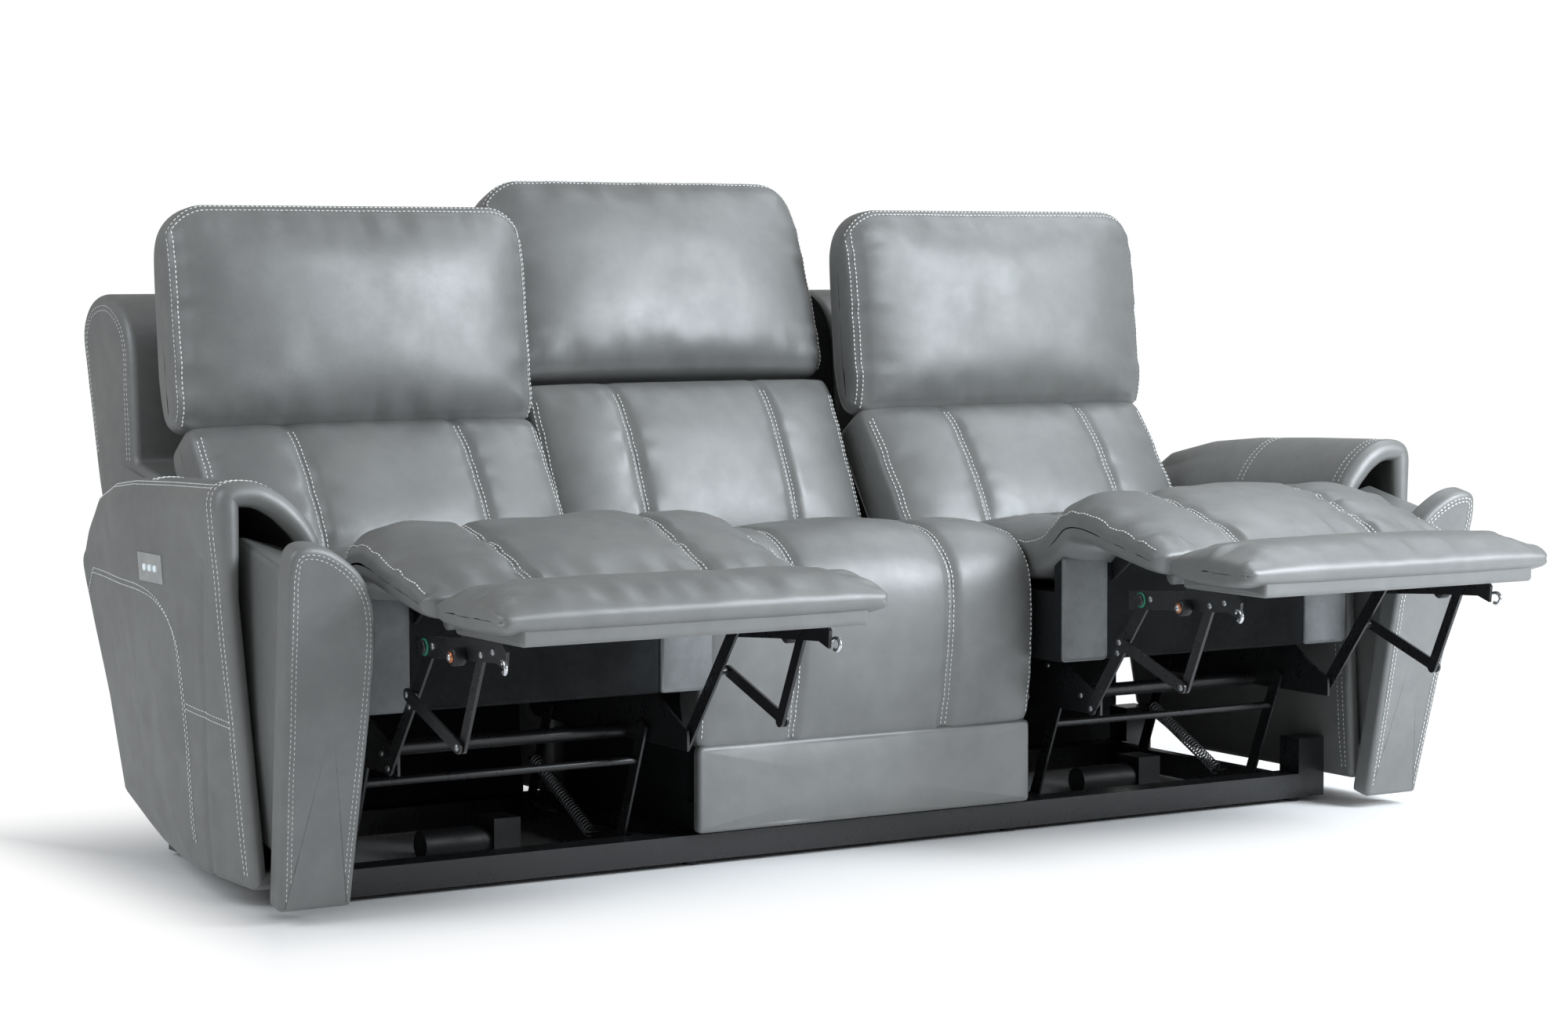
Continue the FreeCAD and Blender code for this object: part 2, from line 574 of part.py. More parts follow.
def on_footrest(along, out):
    """Point of the YZ plane given along and out of the footrest's sloping underside."""
    return (front_y + along * math.cos(slope) - out * math.sin(slope),
            front_z + along * math.sin(slope) + out * math.cos(slope))


bar = size("footrest_board")
tray_outline = [on_footrest(10, -bar), on_footrest(225, -bar), on_footrest(225, -GAP), on_footrest(10, -GAP)]
lug_outline = [on_footrest(188, -bar / 2), on_footrest(212, -bar / 2), (foot_y + 7, foot_z - 6),
               (foot_y, foot_z - 10), (foot_y - 7, foot_z - 6)]
bracket_outline = [(-85, 372), (-85, 402), (-225, 412), (-235, 423), (-340, 423), (-358, 405), (-355, 380),
                   (-330, 388), (-220, 382)]
strut_end = (-285, 395)
back_lug_outline = [(489, 372), (489, 388), (503, 388), (536.8, 369.2), (552, 322), (524, 340)]
outer_shell = [(560, 300), (537.3, 368.4), (686.6, 581.4), (785, 600), (812, 850), (985, 868), (1024, 830),
               (935, 520), (800, 330), (700, 300)]
neck_lug_outline = [(598, 644.9), (606, 647), (692, 601), (700, 585), (686.6, 582.4)]
neck_arm_outline = [(599, 645), (602, 655), (706.3, 642), (712.6, 612), (690, 614)]
neck_plate_outline = [(706.4, 642), (730.8, 843), (735.4, 843), (712.8, 612)]

for side, word in SIDES:
    centre = f"{side} * seat_pitch"
    middle = side * size("seat_pitch")
    half = size("cushion_width") / 2
    low_point = (size("link_low_y"), size("link_low_z"))
    stay_low = (size("stay_low_y"), size("stay_low_z"))

    inside = "(plate_offset - plate_thick / 2)"
    cross = rod(f"torque_tube_{word}", "tube_radius", (f"{centre} - {inside}", f"{centre} + {inside}"),
                "tube_y", "tube_z")
    side_plates = pair(f"side_plate_{word}", side, "plate_offset", plate, outline=carriage_outline,
                       thick="plate_thick")
    rest_arms = pair(f"rest_arm_{word}", side, "hinge_offset + 8", plate, outline=arm_outline, thick=str(GRIP))
    sub_part(f"carriage_plates_{word}", side_plates + [cross] + rest_arms)
    sub_part(f"seat_box_{word}",
             upholstered_box(f"seat_frame_{word}", centre, "frame_width / 2", ("seat_box_front", "seat_box_back"),
                             ("seat_box_bottom", "seat_box_top"), "front_board_top"))
    sub_part(f"seat_cushion_{word}",
             [cushion(f"seat_pad_{word}", middle, half, (size("seat_front"), size("seat_box_top") + GAP), 0,
                      size("seat_back") - size("seat_front"), size("seat_thick"), size("seat_crown"))])

    for label in ("front", "rear"):
        pieces = swing(f"swing_{label}_{word}", side, size(f"swing_{label}_y"))
        if label == "rear":
            pieces.append(rod(f"high_peg_{word}", "peg_radius",
                              (f"{centre} + spring_side - spring_radius", f"{centre} + swing_offset - link_thick / 2"),
                              "spring_high_y + peg_reach * 0.894", "spring_high_z + peg_reach * 0.447"))
        sub_part(f"swing_{label}_links_{word}", pieces)

    outer = side * size("seat_pitch") + side * size("shell_out")
    inner = side * size("seat_pitch") - side * size("shell_in")
    sub_part(f"back_shell_{word}", [curved_block(f"outer_shell_{word}", outer_shell, {4: (890, 902)},
                                                 min(outer, inner), max(outer, inner))])
    lugs = pair(f"back_lug_{word}", side, "plate_offset + 7", plate, outline=back_lug_outline, thick="plate_thick")
    rivets = bosses(f"back_pin_{word}", side, "plate_offset + plate_thick / 2 + running_gap", "plate_offset + 7",
                    "recline_y", "recline_z")
    neck_lugs = pair(f"neck_lug_{word}", side, "155 + plate_thick + running_gap", plate, outline=neck_lug_outline, thick="plate_thick")
    sub_part(f"back_hinges_{word}", joined(f"back_hinge_{word}", (lugs, rivets)) + neck_lugs)
    for label in ("lumbar", "head"):
        pad = cushion(f"{label}_{word}", middle, half,
                      (size(f"{label}_y") - GAP, size(f"{label}_z") + GAP),
                      90 - size(f"{label}_lean"), size(f"{label}_length"), size(f"{label}_thick"),
                      size(f"{label}_crown"))
        sub_part(f"{label}_cushion_{word}", [pad])
    neck_arms = pair(f"neck_arm_{word}", side, "155", plate, outline=neck_arm_outline, thick="plate_thick")
    neck_plate = plate(f"neck_plate_{word}", neck_plate_outline, "320", centre)
    sub_part(f"head_bracket_{word}", neck_arms + [neck_plate])

    tray = plate(f"tray_{word}", tray_outline, "2 * board_half", centre)
    tray_lugs = pair(f"tray_lug_{word}", side, "hinge_offset", plate, outline=lug_outline, thick=str(GRIP))
    tray_pins = bosses(f"tray_pin_{word}", side, "hinge_offset", f"hinge_offset + 8 - {GRIP} / 2 - running_gap",
                       "footrest_y", "footrest_z")
    knuckles = [box(f"knuckle_{word}_{edge + 1}",
                    (f"{centre} + {edge} * 75 - 15", f"{centre} + {edge} * 75 + 15"),
                    ("extension_y + 4 + running_gap", "-198"), ("extension_z - 4", "extension_z + 8"))
                for edge in (-1, 1)]
    sub_part(f"footrest_board_{word}", [fuse(f"tray_whole_{word}", [tray] + tray_lugs + tray_pins + knuckles)])
    sub_part(f"footrest_pad_{word}",
             [cushion(f"rest_pad_{word}", middle, half, (front_y, front_z), size("footrest_slope"),
                      size("footrest_length"), size("footrest_thick"), size("footrest_crown"))])

    flap = box(f"flap_{word}", (f"{centre} - extension_half", f"{centre} + extension_half"),
               ("extension_front", "extension_front + extension_length"),
               ("extension_bottom", "extension_bottom + extension_board"))
    hinge_rod = rod(f"hinge_rod_{word}", "4", (f"{centre} - 170", f"{centre} + 170"), "extension_y", "extension_z")
    tabs = [box(f"tab_{word}_{edge + 1}",
                (f"{centre} + {edge} * 130 - 20", f"{centre} + {edge} * 130 + 20"),
                ("extension_front + extension_length", "extension_y"), ("extension_z - 3", "extension_z + 3"))
            for edge in (-1, 1)]
    sub_part(f"extension_board_{word}", [fuse(f"flap_whole_{word}", [flap, hinge_rod] + tabs)])
    sub_part(f"extension_pad_{word}",
             [cushion(f"flap_pad_{word}", middle, half,
                      (size("extension_front"), size("extension_bottom") + size("extension_board") + GAP), 0,
                      size("extension_length"), size("extension_thick"), size("extension_crown"))])
    brackets = pair(f"bracket_{word}", side, "bracket_offset", plate, outline=bracket_outline, thick="plate_thick + 1")
    struts = pair(f"strut_{word}", side, "bracket_offset", link, start=strut_end, end=stay_low, width=18,
                  thick="plate_thick + 1")
    sub_part(f"ottoman_brackets_{word}", joined(f"ottoman_{word}", (brackets, struts)))

    face = "bracket_offset - (plate_thick + 1) / 2"
    longs = pair(f"long_{word}", side, "link_offset", link, start=(size("link_top_y"), size("link_top_z")),
                 end=low_point, width=size("link_width"), thick="link_thick")
    tops = bosses(f"long_top_{word}", side, "link_offset", f"{face} - running_gap", "link_top_y", "link_top_z")
    lows = bosses(f"long_low_{word}", side, "plate_offset + plate_thick / 2 + running_gap", "link_offset",
                  "link_low_y", "link_low_z")
    sub_part(f"long_links_{word}", joined(f"long_whole_{word}", (longs, tops, lows)))
    stays = pair(f"stay_{word}", side, "stay_offset", link, start=stay_low,
                 end=(size("stay_end_y"), size("stay_end_z")), width=18, thick="link_thick")
    hubs = bosses(f"stay_hub_{word}", side, "bracket_offset + (plate_thick + 1) / 2 + running_gap", "stay_offset",
                  "stay_low_y", "stay_low_z")
    ends = bosses(f"stay_end_{word}", side, "link_offset + link_thick / 2 + running_gap", "stay_offset",
                  "stay_end_y", "stay_end_z")
    sub_part(f"stay_links_{word}", joined(f"stay_whole_{word}", (stays, hubs, ends)))

    at = middle + size("spring_side")
    low_end = V(at, size("spring_low_y"), size("spring_low_z"))
    high_end = V(at, size("spring_high_y"), size("spring_high_z"))
    coil = helix_tube(low_end, high_end, size("spring_radius"), size("spring_wire"), int(size("spring_turns")))
    sub_part(f"spring_{word}", [solid(f"coil_{word}", coil)])

# Drive: one motor with its gearbox on the cross bar of each recliner
drives = []
for side, word in SIDES:
    centre = f"{side} * seat_pitch"
    bed = "foot_height + cross_bar_thick"
    shaft = rod(f"motor_{word}", "motor_radius", (f"{centre} - motor_length / 2", f"{centre} + motor_length / 2"),
                "cross_bar_y + rail_depth / 2", f"{bed} + motor_radius")
    case = box(f"gearbox_{word}", (f"{centre} + motor_length / 2", f"{centre} + motor_length / 2 + 45"),
               ("cross_bar_y + rail_depth / 2 - gearbox_size / 2", "cross_bar_y + rail_depth / 2 + gearbox_size / 2"),
               (bed, f"{bed} + gearbox_size"))
    drives.append(fuse(f"drive_{word}", [shaft, case]))
sub_part("motors", drives)

# Put the middle of the whole on the frame's origin
doc.recompute()
low_y = min(node.Shape.optimalBoundingBox(False).YMin for node in parts)
high_y = max(node.Shape.optimalBoundingBox(False).YMax for node in parts)
sheet.set(f"B{shift_row}", str(round(-(low_y + high_y) / 2, 3)))
doc.recompute()
print("frame shift", sheet.get("frame_shift"))

for item in doc.Objects:
    if "Invalid" in item.State or "Error" in item.State:
        raise RuntimeError(f"{item.Name} did not compute: {item.State}")
os.makedirs("parts", exist_ok=True)
for node in parts:
    if node.Shape.isNull() or not node.Shape.isValid():
        raise RuntimeError(f"{node.Label} has no valid shape")
    node.Shape.exportStep(f"parts/{node.Label}.step")
whole = Part.makeCompound([node.Shape for node in parts]).optimalBoundingBox(False)
print(len(parts), "sub-parts,", round(whole.XLength), "x", round(whole.YLength), "x", round(whole.ZLength), "mm")
print("lowest", round(whole.ZMin, 2))
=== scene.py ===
"""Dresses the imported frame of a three-seat power reclining sofa in grey leather.

Lengths are metres. The shapes are written from the front edge of the arms (y = 0) as in the
frame's own sizes, and FRONT moves them to the frame's origin.
"""
import logging
import math
from dataclasses import dataclass, field
from enum import Enum
from typing import Callable, Sequence

import bmesh
import bpy
import numpy as np
from mathutils import Matrix, Vector


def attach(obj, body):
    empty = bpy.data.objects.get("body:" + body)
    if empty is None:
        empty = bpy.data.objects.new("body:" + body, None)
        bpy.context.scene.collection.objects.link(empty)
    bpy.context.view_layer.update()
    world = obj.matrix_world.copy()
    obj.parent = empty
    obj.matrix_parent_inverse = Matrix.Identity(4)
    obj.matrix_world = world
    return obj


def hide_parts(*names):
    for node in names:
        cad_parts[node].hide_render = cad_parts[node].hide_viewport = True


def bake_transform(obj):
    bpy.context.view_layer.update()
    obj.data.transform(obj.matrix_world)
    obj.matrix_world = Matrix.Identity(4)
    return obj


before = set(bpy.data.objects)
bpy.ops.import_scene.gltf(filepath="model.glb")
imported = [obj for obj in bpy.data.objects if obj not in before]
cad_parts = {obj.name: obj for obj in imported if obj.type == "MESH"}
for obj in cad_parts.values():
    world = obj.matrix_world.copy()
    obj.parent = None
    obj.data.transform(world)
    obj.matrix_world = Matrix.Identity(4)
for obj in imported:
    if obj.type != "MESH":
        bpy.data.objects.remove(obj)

LOG = logging.getLogger("recliner_sofa")
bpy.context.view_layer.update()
FRONT = -0.297  # y of the arms' front edge in the frame's axes
PITCH = 0.612  # from the middle seat's centre to a recliner's
HALF = 0.299  # half the width of a seat's cushions
CHANNELS = (-0.141, 0.141)  # x of a cushion's two sewn channels
LEAN = 3.4  # degrees by which the arms' fronts lean back
TILT = 16  # degrees by which the arm fronts stand open
FOOT = (0.038, 0.045)  # y and z of the arms' lower front corner
Array = np.ndarray
Rows = list[tuple[Array, Array]]


class Side(Enum):
    """Which recliner or arm, seen from the front."""

    LEFT = -1
    RIGHT = 1

    @property
    def word(self) -> str:
        """The side's name as the frame's nodes carry it."""
        return self.name.lower()


# Shader maths


class Shade:
    """A shader socket that takes part in Python expressions.

    Args:
        tree: The node tree that new nodes go to.
        socket: The output socket, or a plain number.
    """

    def __init__(self, tree: bpy.types.NodeTree, socket: object) -> None:
        """Keeps the tree and the socket."""
        self.tree = tree
        self.socket = socket

    def _math(self, operation: str, *values: object) -> "Shade":
        """Adds one Math node on these values and returns its output."""
        return node(self.tree, "ShaderNodeMath", {"operation": operation}, dict(enumerate(values)))[0]

    def __add__(self, other: object) -> "Shade":
        """Sum."""
        return self._math("ADD", self, other)

    def __mul__(self, other: object) -> "Shade":
        """Product."""
        return self._math("MULTIPLY", self, other)

    def __sub__(self, other: object) -> "Shade":
        """Difference."""
        return self._math("SUBTRACT", self, other)

    def ramp(self, low: float, high: float) -> "Shade":
        """Maps low..high smoothly to 0..1."""
        return node(self.tree, "ShaderNodeMapRange", {"interpolation_type": "SMOOTHSTEP", "clamp": True},
                    {0: self, 1: low, 2: high})[0]


def node(tree: bpy.types.NodeTree, kind: str, settings: dict[str, object],
         values: dict[object, object]) -> list[Shade]:
    """Adds one node.

    Args:
        tree: The tree it goes to.
        kind: The node's type.
        settings: Properties, set first.
        values: Socket name or index to a number, a colour or a Shade.

    Returns:
        The node's outputs.
    """
    made = tree.nodes.new(kind)
    for name, value in settings.items():
        setattr(made, name, value)
    for key, value in values.items():
        socket = made.inputs[key]
        if isinstance(value, Shade):
            tree.links.new(value.socket, socket)
        else:
            socket.default_value = value
    return [Shade(tree, out) for out in made.outputs]


def fresh(owner: bpy.types.Material | bpy.types.World) -> bpy.types.NodeTree:
    """The emptied node tree of a material or a world."""
    owner.use_nodes = True
    owner.node_tree.nodes.clear()
    return owner.node_tree


def noise(place: Shade, scale: float, detail: float, roughness: float, distortion: float = 0.0) -> Shade:
    """Adds a noise of three dimensions over a place."""
    return node(place.tree, "ShaderNodeTexNoise", {"noise_dimensions": "3D"},
                {"Vector": place, "Scale": scale, "Detail": detail, "Roughness": roughness,
                 "Distortion": distortion})[0]


@dataclass(frozen=True)
class Finish:
    """One surface finish: a base colour that drifts, a roughness that drifts and a relief.

    relief_size is the size of the relief's cells in metres, drift_size that of the colour's patches,
    and relief the metres that a height of one stands for.
    """

    name: str
    colour: tuple[float, float, float]
    shade: tuple[float, float, float]
    roughness: tuple[float, float] = (0.4, 0.5)
    metallic: float = 0.0
    relief_size: float = 0.002
    relief: float = 0.0002
    drift_size: float = 0.12
    coat: float = 0.0
    specular: float = 0.5
    weave: bool = False
    leather: bool = False
    glow: float = 0.0

    def build(self) -> bpy.types.Material:
        """Makes the finish's node material."""
        material = bpy.data.materials.new(self.name)
        tree = fresh(material)
        place = node(tree, "ShaderNodeTexCoord", {}, {})[3]
        drift = noise(place, 1 / self.drift_size, 5.0, 0.6)
        fine = noise(place, 8 / self.drift_size, 4.0, 0.65)
        mask = (drift * 0.7 + fine * 0.3).ramp(0.36, 0.64)
        tone = node(tree, "ShaderNodeMix", {"data_type": "RGBA"},
                    {"Factor": mask, 6: (*self.shade, 1.0), 7: (*self.colour, 1.0)})[2]
        rough = mask * (self.roughness[0] - self.roughness[1]) + self.roughness[1]
        normal = node(tree, "ShaderNodeBump", {},
                      {"Height": self._grain(tree, place), "Distance": self.relief, "Strength": 1.0})[0]
        surface = node(tree, "ShaderNodeBsdfPrincipled", {},
                       {"Base Color": tone, "Roughness": rough, "Metallic": self.metallic, "Normal": normal,
                        "Coat Weight": self.coat, "Coat Roughness": 0.42,
                        "Specular IOR Level": self.specular})[0]
        if self.glow:
            surface.socket.node.inputs["Emission Color"].default_value = (*self.colour, 1.0)
            surface.socket.node.inputs["Emission Strength"].default_value = self.glow
        node(tree, "ShaderNodeOutputMaterial", {}, {"Surface": surface})
        material.diffuse_color = (*self.colour, 1.0)
        return material

    def _grain(self, tree: bpy.types.NodeTree, place: Shade) -> Shade:
        """Height of the surface's grain: a weave, leather's pores and folds, or plain noise."""
        if self.weave:
            waves = [node(tree, "ShaderNodeTexWave", {"wave_type": "BANDS", "bands_direction": direction},
                          {"Vector": place, "Scale": 0.16 / self.relief_size, "Distortion": 0.6,
                           "Detail": 1.0})[1] for direction in ("X", "Z")]
            return waves[0] * waves[1]
        if self.leather:
            cells = node(tree, "ShaderNodeTexVoronoi", {"feature": "DISTANCE_TO_EDGE"},
                         {"Vector": place, "Scale": 1 / self.relief_size, "Randomness": 0.9})[0]
            return cells.ramp(0.0, 0.22) * 0.3 + noise(place, 22.0, 3.0, 0.5, 0.8) * 1.2
        return noise(place, 1 / self.relief_size, 3.0, 0.6)


class Finishes:
    """Every finish on the sofa, built once."""

    TABLE = (
        Finish("grey_leather", (0.160, 0.162, 0.157), (0.128, 0.130, 0.128), (0.38, 0.46),
               relief_size=0.0015, relief=0.00020, drift_size=0.30, coat=0.25, specular=1.0, leather=True),
        Finish("edge_leather", (0.175, 0.183, 0.186), (0.135, 0.142, 0.145), (0.42, 0.52),
               relief_size=0.0016, relief=0.00022, leather=True),
        Finish("pale_thread", (0.80, 0.80, 0.78), (0.70, 0.70, 0.68), (0.6, 0.7), relief_size=0.0006,
               drift_size=0.02),
        Finish("black_cloth", (0.0075, 0.0088, 0.0100), (0.0055, 0.0065, 0.0075), (0.8, 0.9),
               relief_size=0.0012, relief=0.0003, drift_size=0.08, specular=0.3, weave=True),
        Finish("black_steel", (0.012, 0.012, 0.013), (0.007, 0.007, 0.008), (0.25, 0.4),
               relief_size=0.003, relief=0.00008, drift_size=0.05, coat=0.3),
        Finish("dark_plastic", (0.012, 0.012, 0.013), (0.008, 0.008, 0.009), (0.45, 0.6),
               relief_size=0.0008, relief=0.00008, drift_size=0.04),
        Finish("zinc_wire", (0.42, 0.43, 0.44), (0.30, 0.31, 0.32), (0.28, 0.42), metallic=1.0,
               relief_size=0.004, relief=0.00005, drift_size=0.03),
        Finish("bright_chrome", (0.75, 0.76, 0.78), (0.62, 0.63, 0.65), (0.1, 0.18), metallic=1.0,
               relief_size=0.003, relief=0.00003, drift_size=0.03),
        Finish("plate_metal", (0.62, 0.63, 0.63), (0.52, 0.53, 0.53), (0.28, 0.36), metallic=0.85,
               relief_size=0.0006, relief=0.00003, drift_size=0.03),
        Finish("lit_key", (0.75, 0.82, 0.86), (0.68, 0.76, 0.80), (0.3, 0.35), relief_size=0.001,
               relief=0.00002, drift_size=0.02, glow=0.25),
        Finish("green_nylon", (0.02, 0.22, 0.13), (0.015, 0.17, 0.10), (0.4, 0.5), relief_size=0.001,
               relief=0.00003, drift_size=0.02),
        Finish("copper_rim", (0.55, 0.22, 0.11), (0.42, 0.16, 0.08), (0.25, 0.35), metallic=0.9,
               relief_size=0.001, relief=0.00003, drift_size=0.02),
    )

    def __init__(self) -> None:
        """Builds the table's materials."""
        self.made = {finish.name: finish.build() for finish in self.TABLE}

    def __getitem__(self, name: str) -> bpy.types.Material:
        """The material of that name."""
        return self.made[name]


# Noise and curves


class Ripple:
    """Smooth value noise on a seeded lattice, for folds and slack in the leather.

    Args:
        seed: Seed of the lattice.
    """

    SIZE = 64

    def __init__(self, seed: int) -> None:
        """Fills the lattice."""
        self.lattice = np.random.default_rng(seed).uniform(-1, 1, (self.SIZE, self.SIZE))

    def __call__(self, x: Array, y: Array) -> Array:
        """Noise at x, y, one lattice cell per unit, between -1 and 1.

        The four lattice values around a point are mixed with the weights 3f^2 - 2f^3.
        """
        x0, y0 = np.floor(x).astype(int), np.floor(y).astype(int)
        fx, fy = x - x0, y - y0
        wx, wy = fx * fx * (3 - 2 * fx), fy * fy * (3 - 2 * fy)

        def value(i: Array, j: Array) -> Array:
            """Lattice value, repeated at its edges."""
            return self.lattice[i % self.SIZE, j % self.SIZE]

        low = value(x0, y0) * (1 - wx) + value(x0 + 1, y0) * wx
        high = value(x0, y0 + 1) * (1 - wx) + value(x0 + 1, y0 + 1) * wx
        return low * (1 - wy) + high * wy


def bell(value: Array, width: float) -> Array:
    """Gaussian bump exp(-(value / width)^2)."""
    return np.exp(-(value / width) ** 2)


def unit(vectors: Array) -> Array:
    """The vectors at length one."""
    return vectors / np.maximum(np.linalg.norm(vectors, axis=-1, keepdims=True), 1e-12)


def lengths(points: Array) -> Array:
    """The length run along a polyline at each of its points."""
    return np.concatenate([[0], np.cumsum(np.linalg.norm(np.diff(points, axis=0), axis=1))])


def pick(x: Array, places: Array, table: Array) -> Array:
    """Rows of a table at x, where places are the x of its own rows."""
    return np.stack([np.interp(x, places, column) for column in table.T], axis=-1)


def even(line: Array, count: int) -> tuple[Array, Array]:
    """A polyline evenly spaced by length: shares from 0 to 1, and the points there."""
    run, share = lengths(line), np.linspace(0, 1, count)
    return share, pick(share * run[-1], run, line)


def box_curve(power: float) -> tuple[Array, Array, Array]:
    """Unit superellipse |a|^p + |b|^p = 1 by length.

    Args:
        power: The exponent p; a high one gives a box with small corner rolls.

    Returns:
        Shares of its length from 0 to 1, and a and b there, starting at a = 1, b = 0.
    """
    angle = np.linspace(0, 2 * np.pi, 4001)
    a = np.sign(np.cos(angle)) * np.abs(np.cos(angle)) ** (2 / power)
    b = np.sign(np.sin(angle)) * np.abs(np.sin(angle)) ** (2 / power)
    length = np.concatenate([[0], np.cumsum(np.hypot(np.diff(a), np.diff(b)))])
    return length / length[-1], a, b


def catmull(points: Sequence[Sequence[float]], count: int) -> Array:
    """Catmull-Rom curve through points, with as many samples in every span."""
    base = np.asarray(points, float)
    ring = np.concatenate([[2 * base[0] - base[1]], base, [2 * base[-1] - base[-2]]])
    places = np.linspace(0, len(base) - 1, count)
    i = np.minimum(places.astype(int), len(base) - 2)
    f = (places - i)[:, None]
    p0, p1, p2, p3 = ring[i], ring[i + 1], ring[i + 2], ring[i + 3]
    return 0.5 * (2 * p1 + (p2 - p0) * f + (2 * p0 - 5 * p1 + 4 * p2 - p3) * f ** 2
                  + (3 * p1 - p0 - 3 * p2 + p3) * f ** 3)


def smooth_line(points: Sequence[tuple[float, float]], count: int = 800) -> tuple[Array, Array]:
    """Catmull-Rom curve through points, evenly spaced by length: shares and points."""
    return even(catmull(points, count * 2), count)


def rounded(points: Sequence[tuple[float, float, float]], steps: int = 6) -> list[tuple[float, float]]:
    """Corners cut to quadratic rolls; each point is (x, y, roll radius)."""
    result: list[tuple[float, float]] = []
    count = len(points)
    for index, (x, y, roll) in enumerate(points):
        here = np.array([x, y])
        back = np.array(points[index - 1][:2]) - here
        ahead = np.array(points[(index + 1) % count][:2]) - here
        start = here + back / np.linalg.norm(back) * min(roll, np.linalg.norm(back) * 0.48)
        end = here + ahead / np.linalg.norm(ahead) * min(roll, np.linalg.norm(ahead) * 0.48)
        for f in np.linspace(0, 1, steps):
            point = start * (1 - f) ** 2 + here * 2 * f * (1 - f) + end * f ** 2
            result.append((float(point[0]), float(point[1])))
    return result


def oblong(left: float, right: float, low: float, high: float, *rolls: float) -> list[tuple[float, float]]:
    """A rectangle with corners cut to rolls, from the lower left: one roll for all, or four."""
    corners = ((left, low), (right, low), (right, high), (left, high))
    return rounded([(*corner, roll) for corner, roll in zip(corners, rolls * (4 // len(rolls)))])


def even_loop(points: Sequence[tuple[float, float]], count: int = 1600) -> tuple[Array, Array]:
    """Closed polyline evenly spaced by length: shares and points."""
    return even(np.asarray([*points, points[0]], float), count)


# Surfaces of two parameters


class Skin:
    """A closed surface: s runs from one end to the other, t once round it."""

    def points(self, s: Array, t: Array) -> Array:
        """Positions in the sofa's own axes for arrays s and t of one shape, both from 0 to 1."""
        raise NotImplementedError

    def normals(self, s: Array, t: Array) -> Array:
        """Outward unit normals from central differences of the surface in s and t."""
        step = 0.0015
        ds = self.points(np.minimum(s + step, 1), t) - self.points(np.maximum(s - step, 0), t)
        dt = self.points(s, (t + step) % 1) - self.points(s, (t - step) % 1)
        return unit(np.cross(dt, ds))


@dataclass
class Spine:
    """The line, in the YZ plane, that the front of a cushion follows.

    Args:
        points: y, z of the points it passes, in millimetres from the arms' front edge.
    """

    points: Sequence[tuple[float, float]]
    share: Array = field(init=False)
    line: Array = field(init=False)
    along: Array = field(init=False)
    length: float = field(init=False)

    def __post_init__(self) -> None:
        """Samples the line and its directions."""
        self.share, line = smooth_line(self.points)
        self.line = line / 1000
        self.length = float(np.linalg.norm(np.diff(self.line, axis=0), axis=1).sum())
        self.along = unit(np.gradient(self.line, axis=0))

    @classmethod
    def straight(cls, origin: tuple[float, float], angle: float, length: float, thick: float) -> "Spine":
        """The front of a straight cushion from the back lower corner of its profile."""
        y, z = math.cos(math.radians(angle)), math.sin(math.radians(angle))
        start = (origin[0] - z * thick, origin[1] + y * thick)
        return cls([(start[0] + y * length * f, start[1] + z * length * f) for f in (0, 0.33, 0.67, 1)])

    def at(self, a: Array) -> tuple[Array, Array]:
        """Points and outward normals at lengths a along the line; it runs on straight past its ends."""
        share = np.clip(a / self.length, 0, 1)
        along = unit(pick(share, self.share, self.along))
        spot = pick(share, self.share, self.line) + along * (a - share * self.length)[..., None]
        return spot, np.stack([-along[..., 1], along[..., 0]], axis=-1)


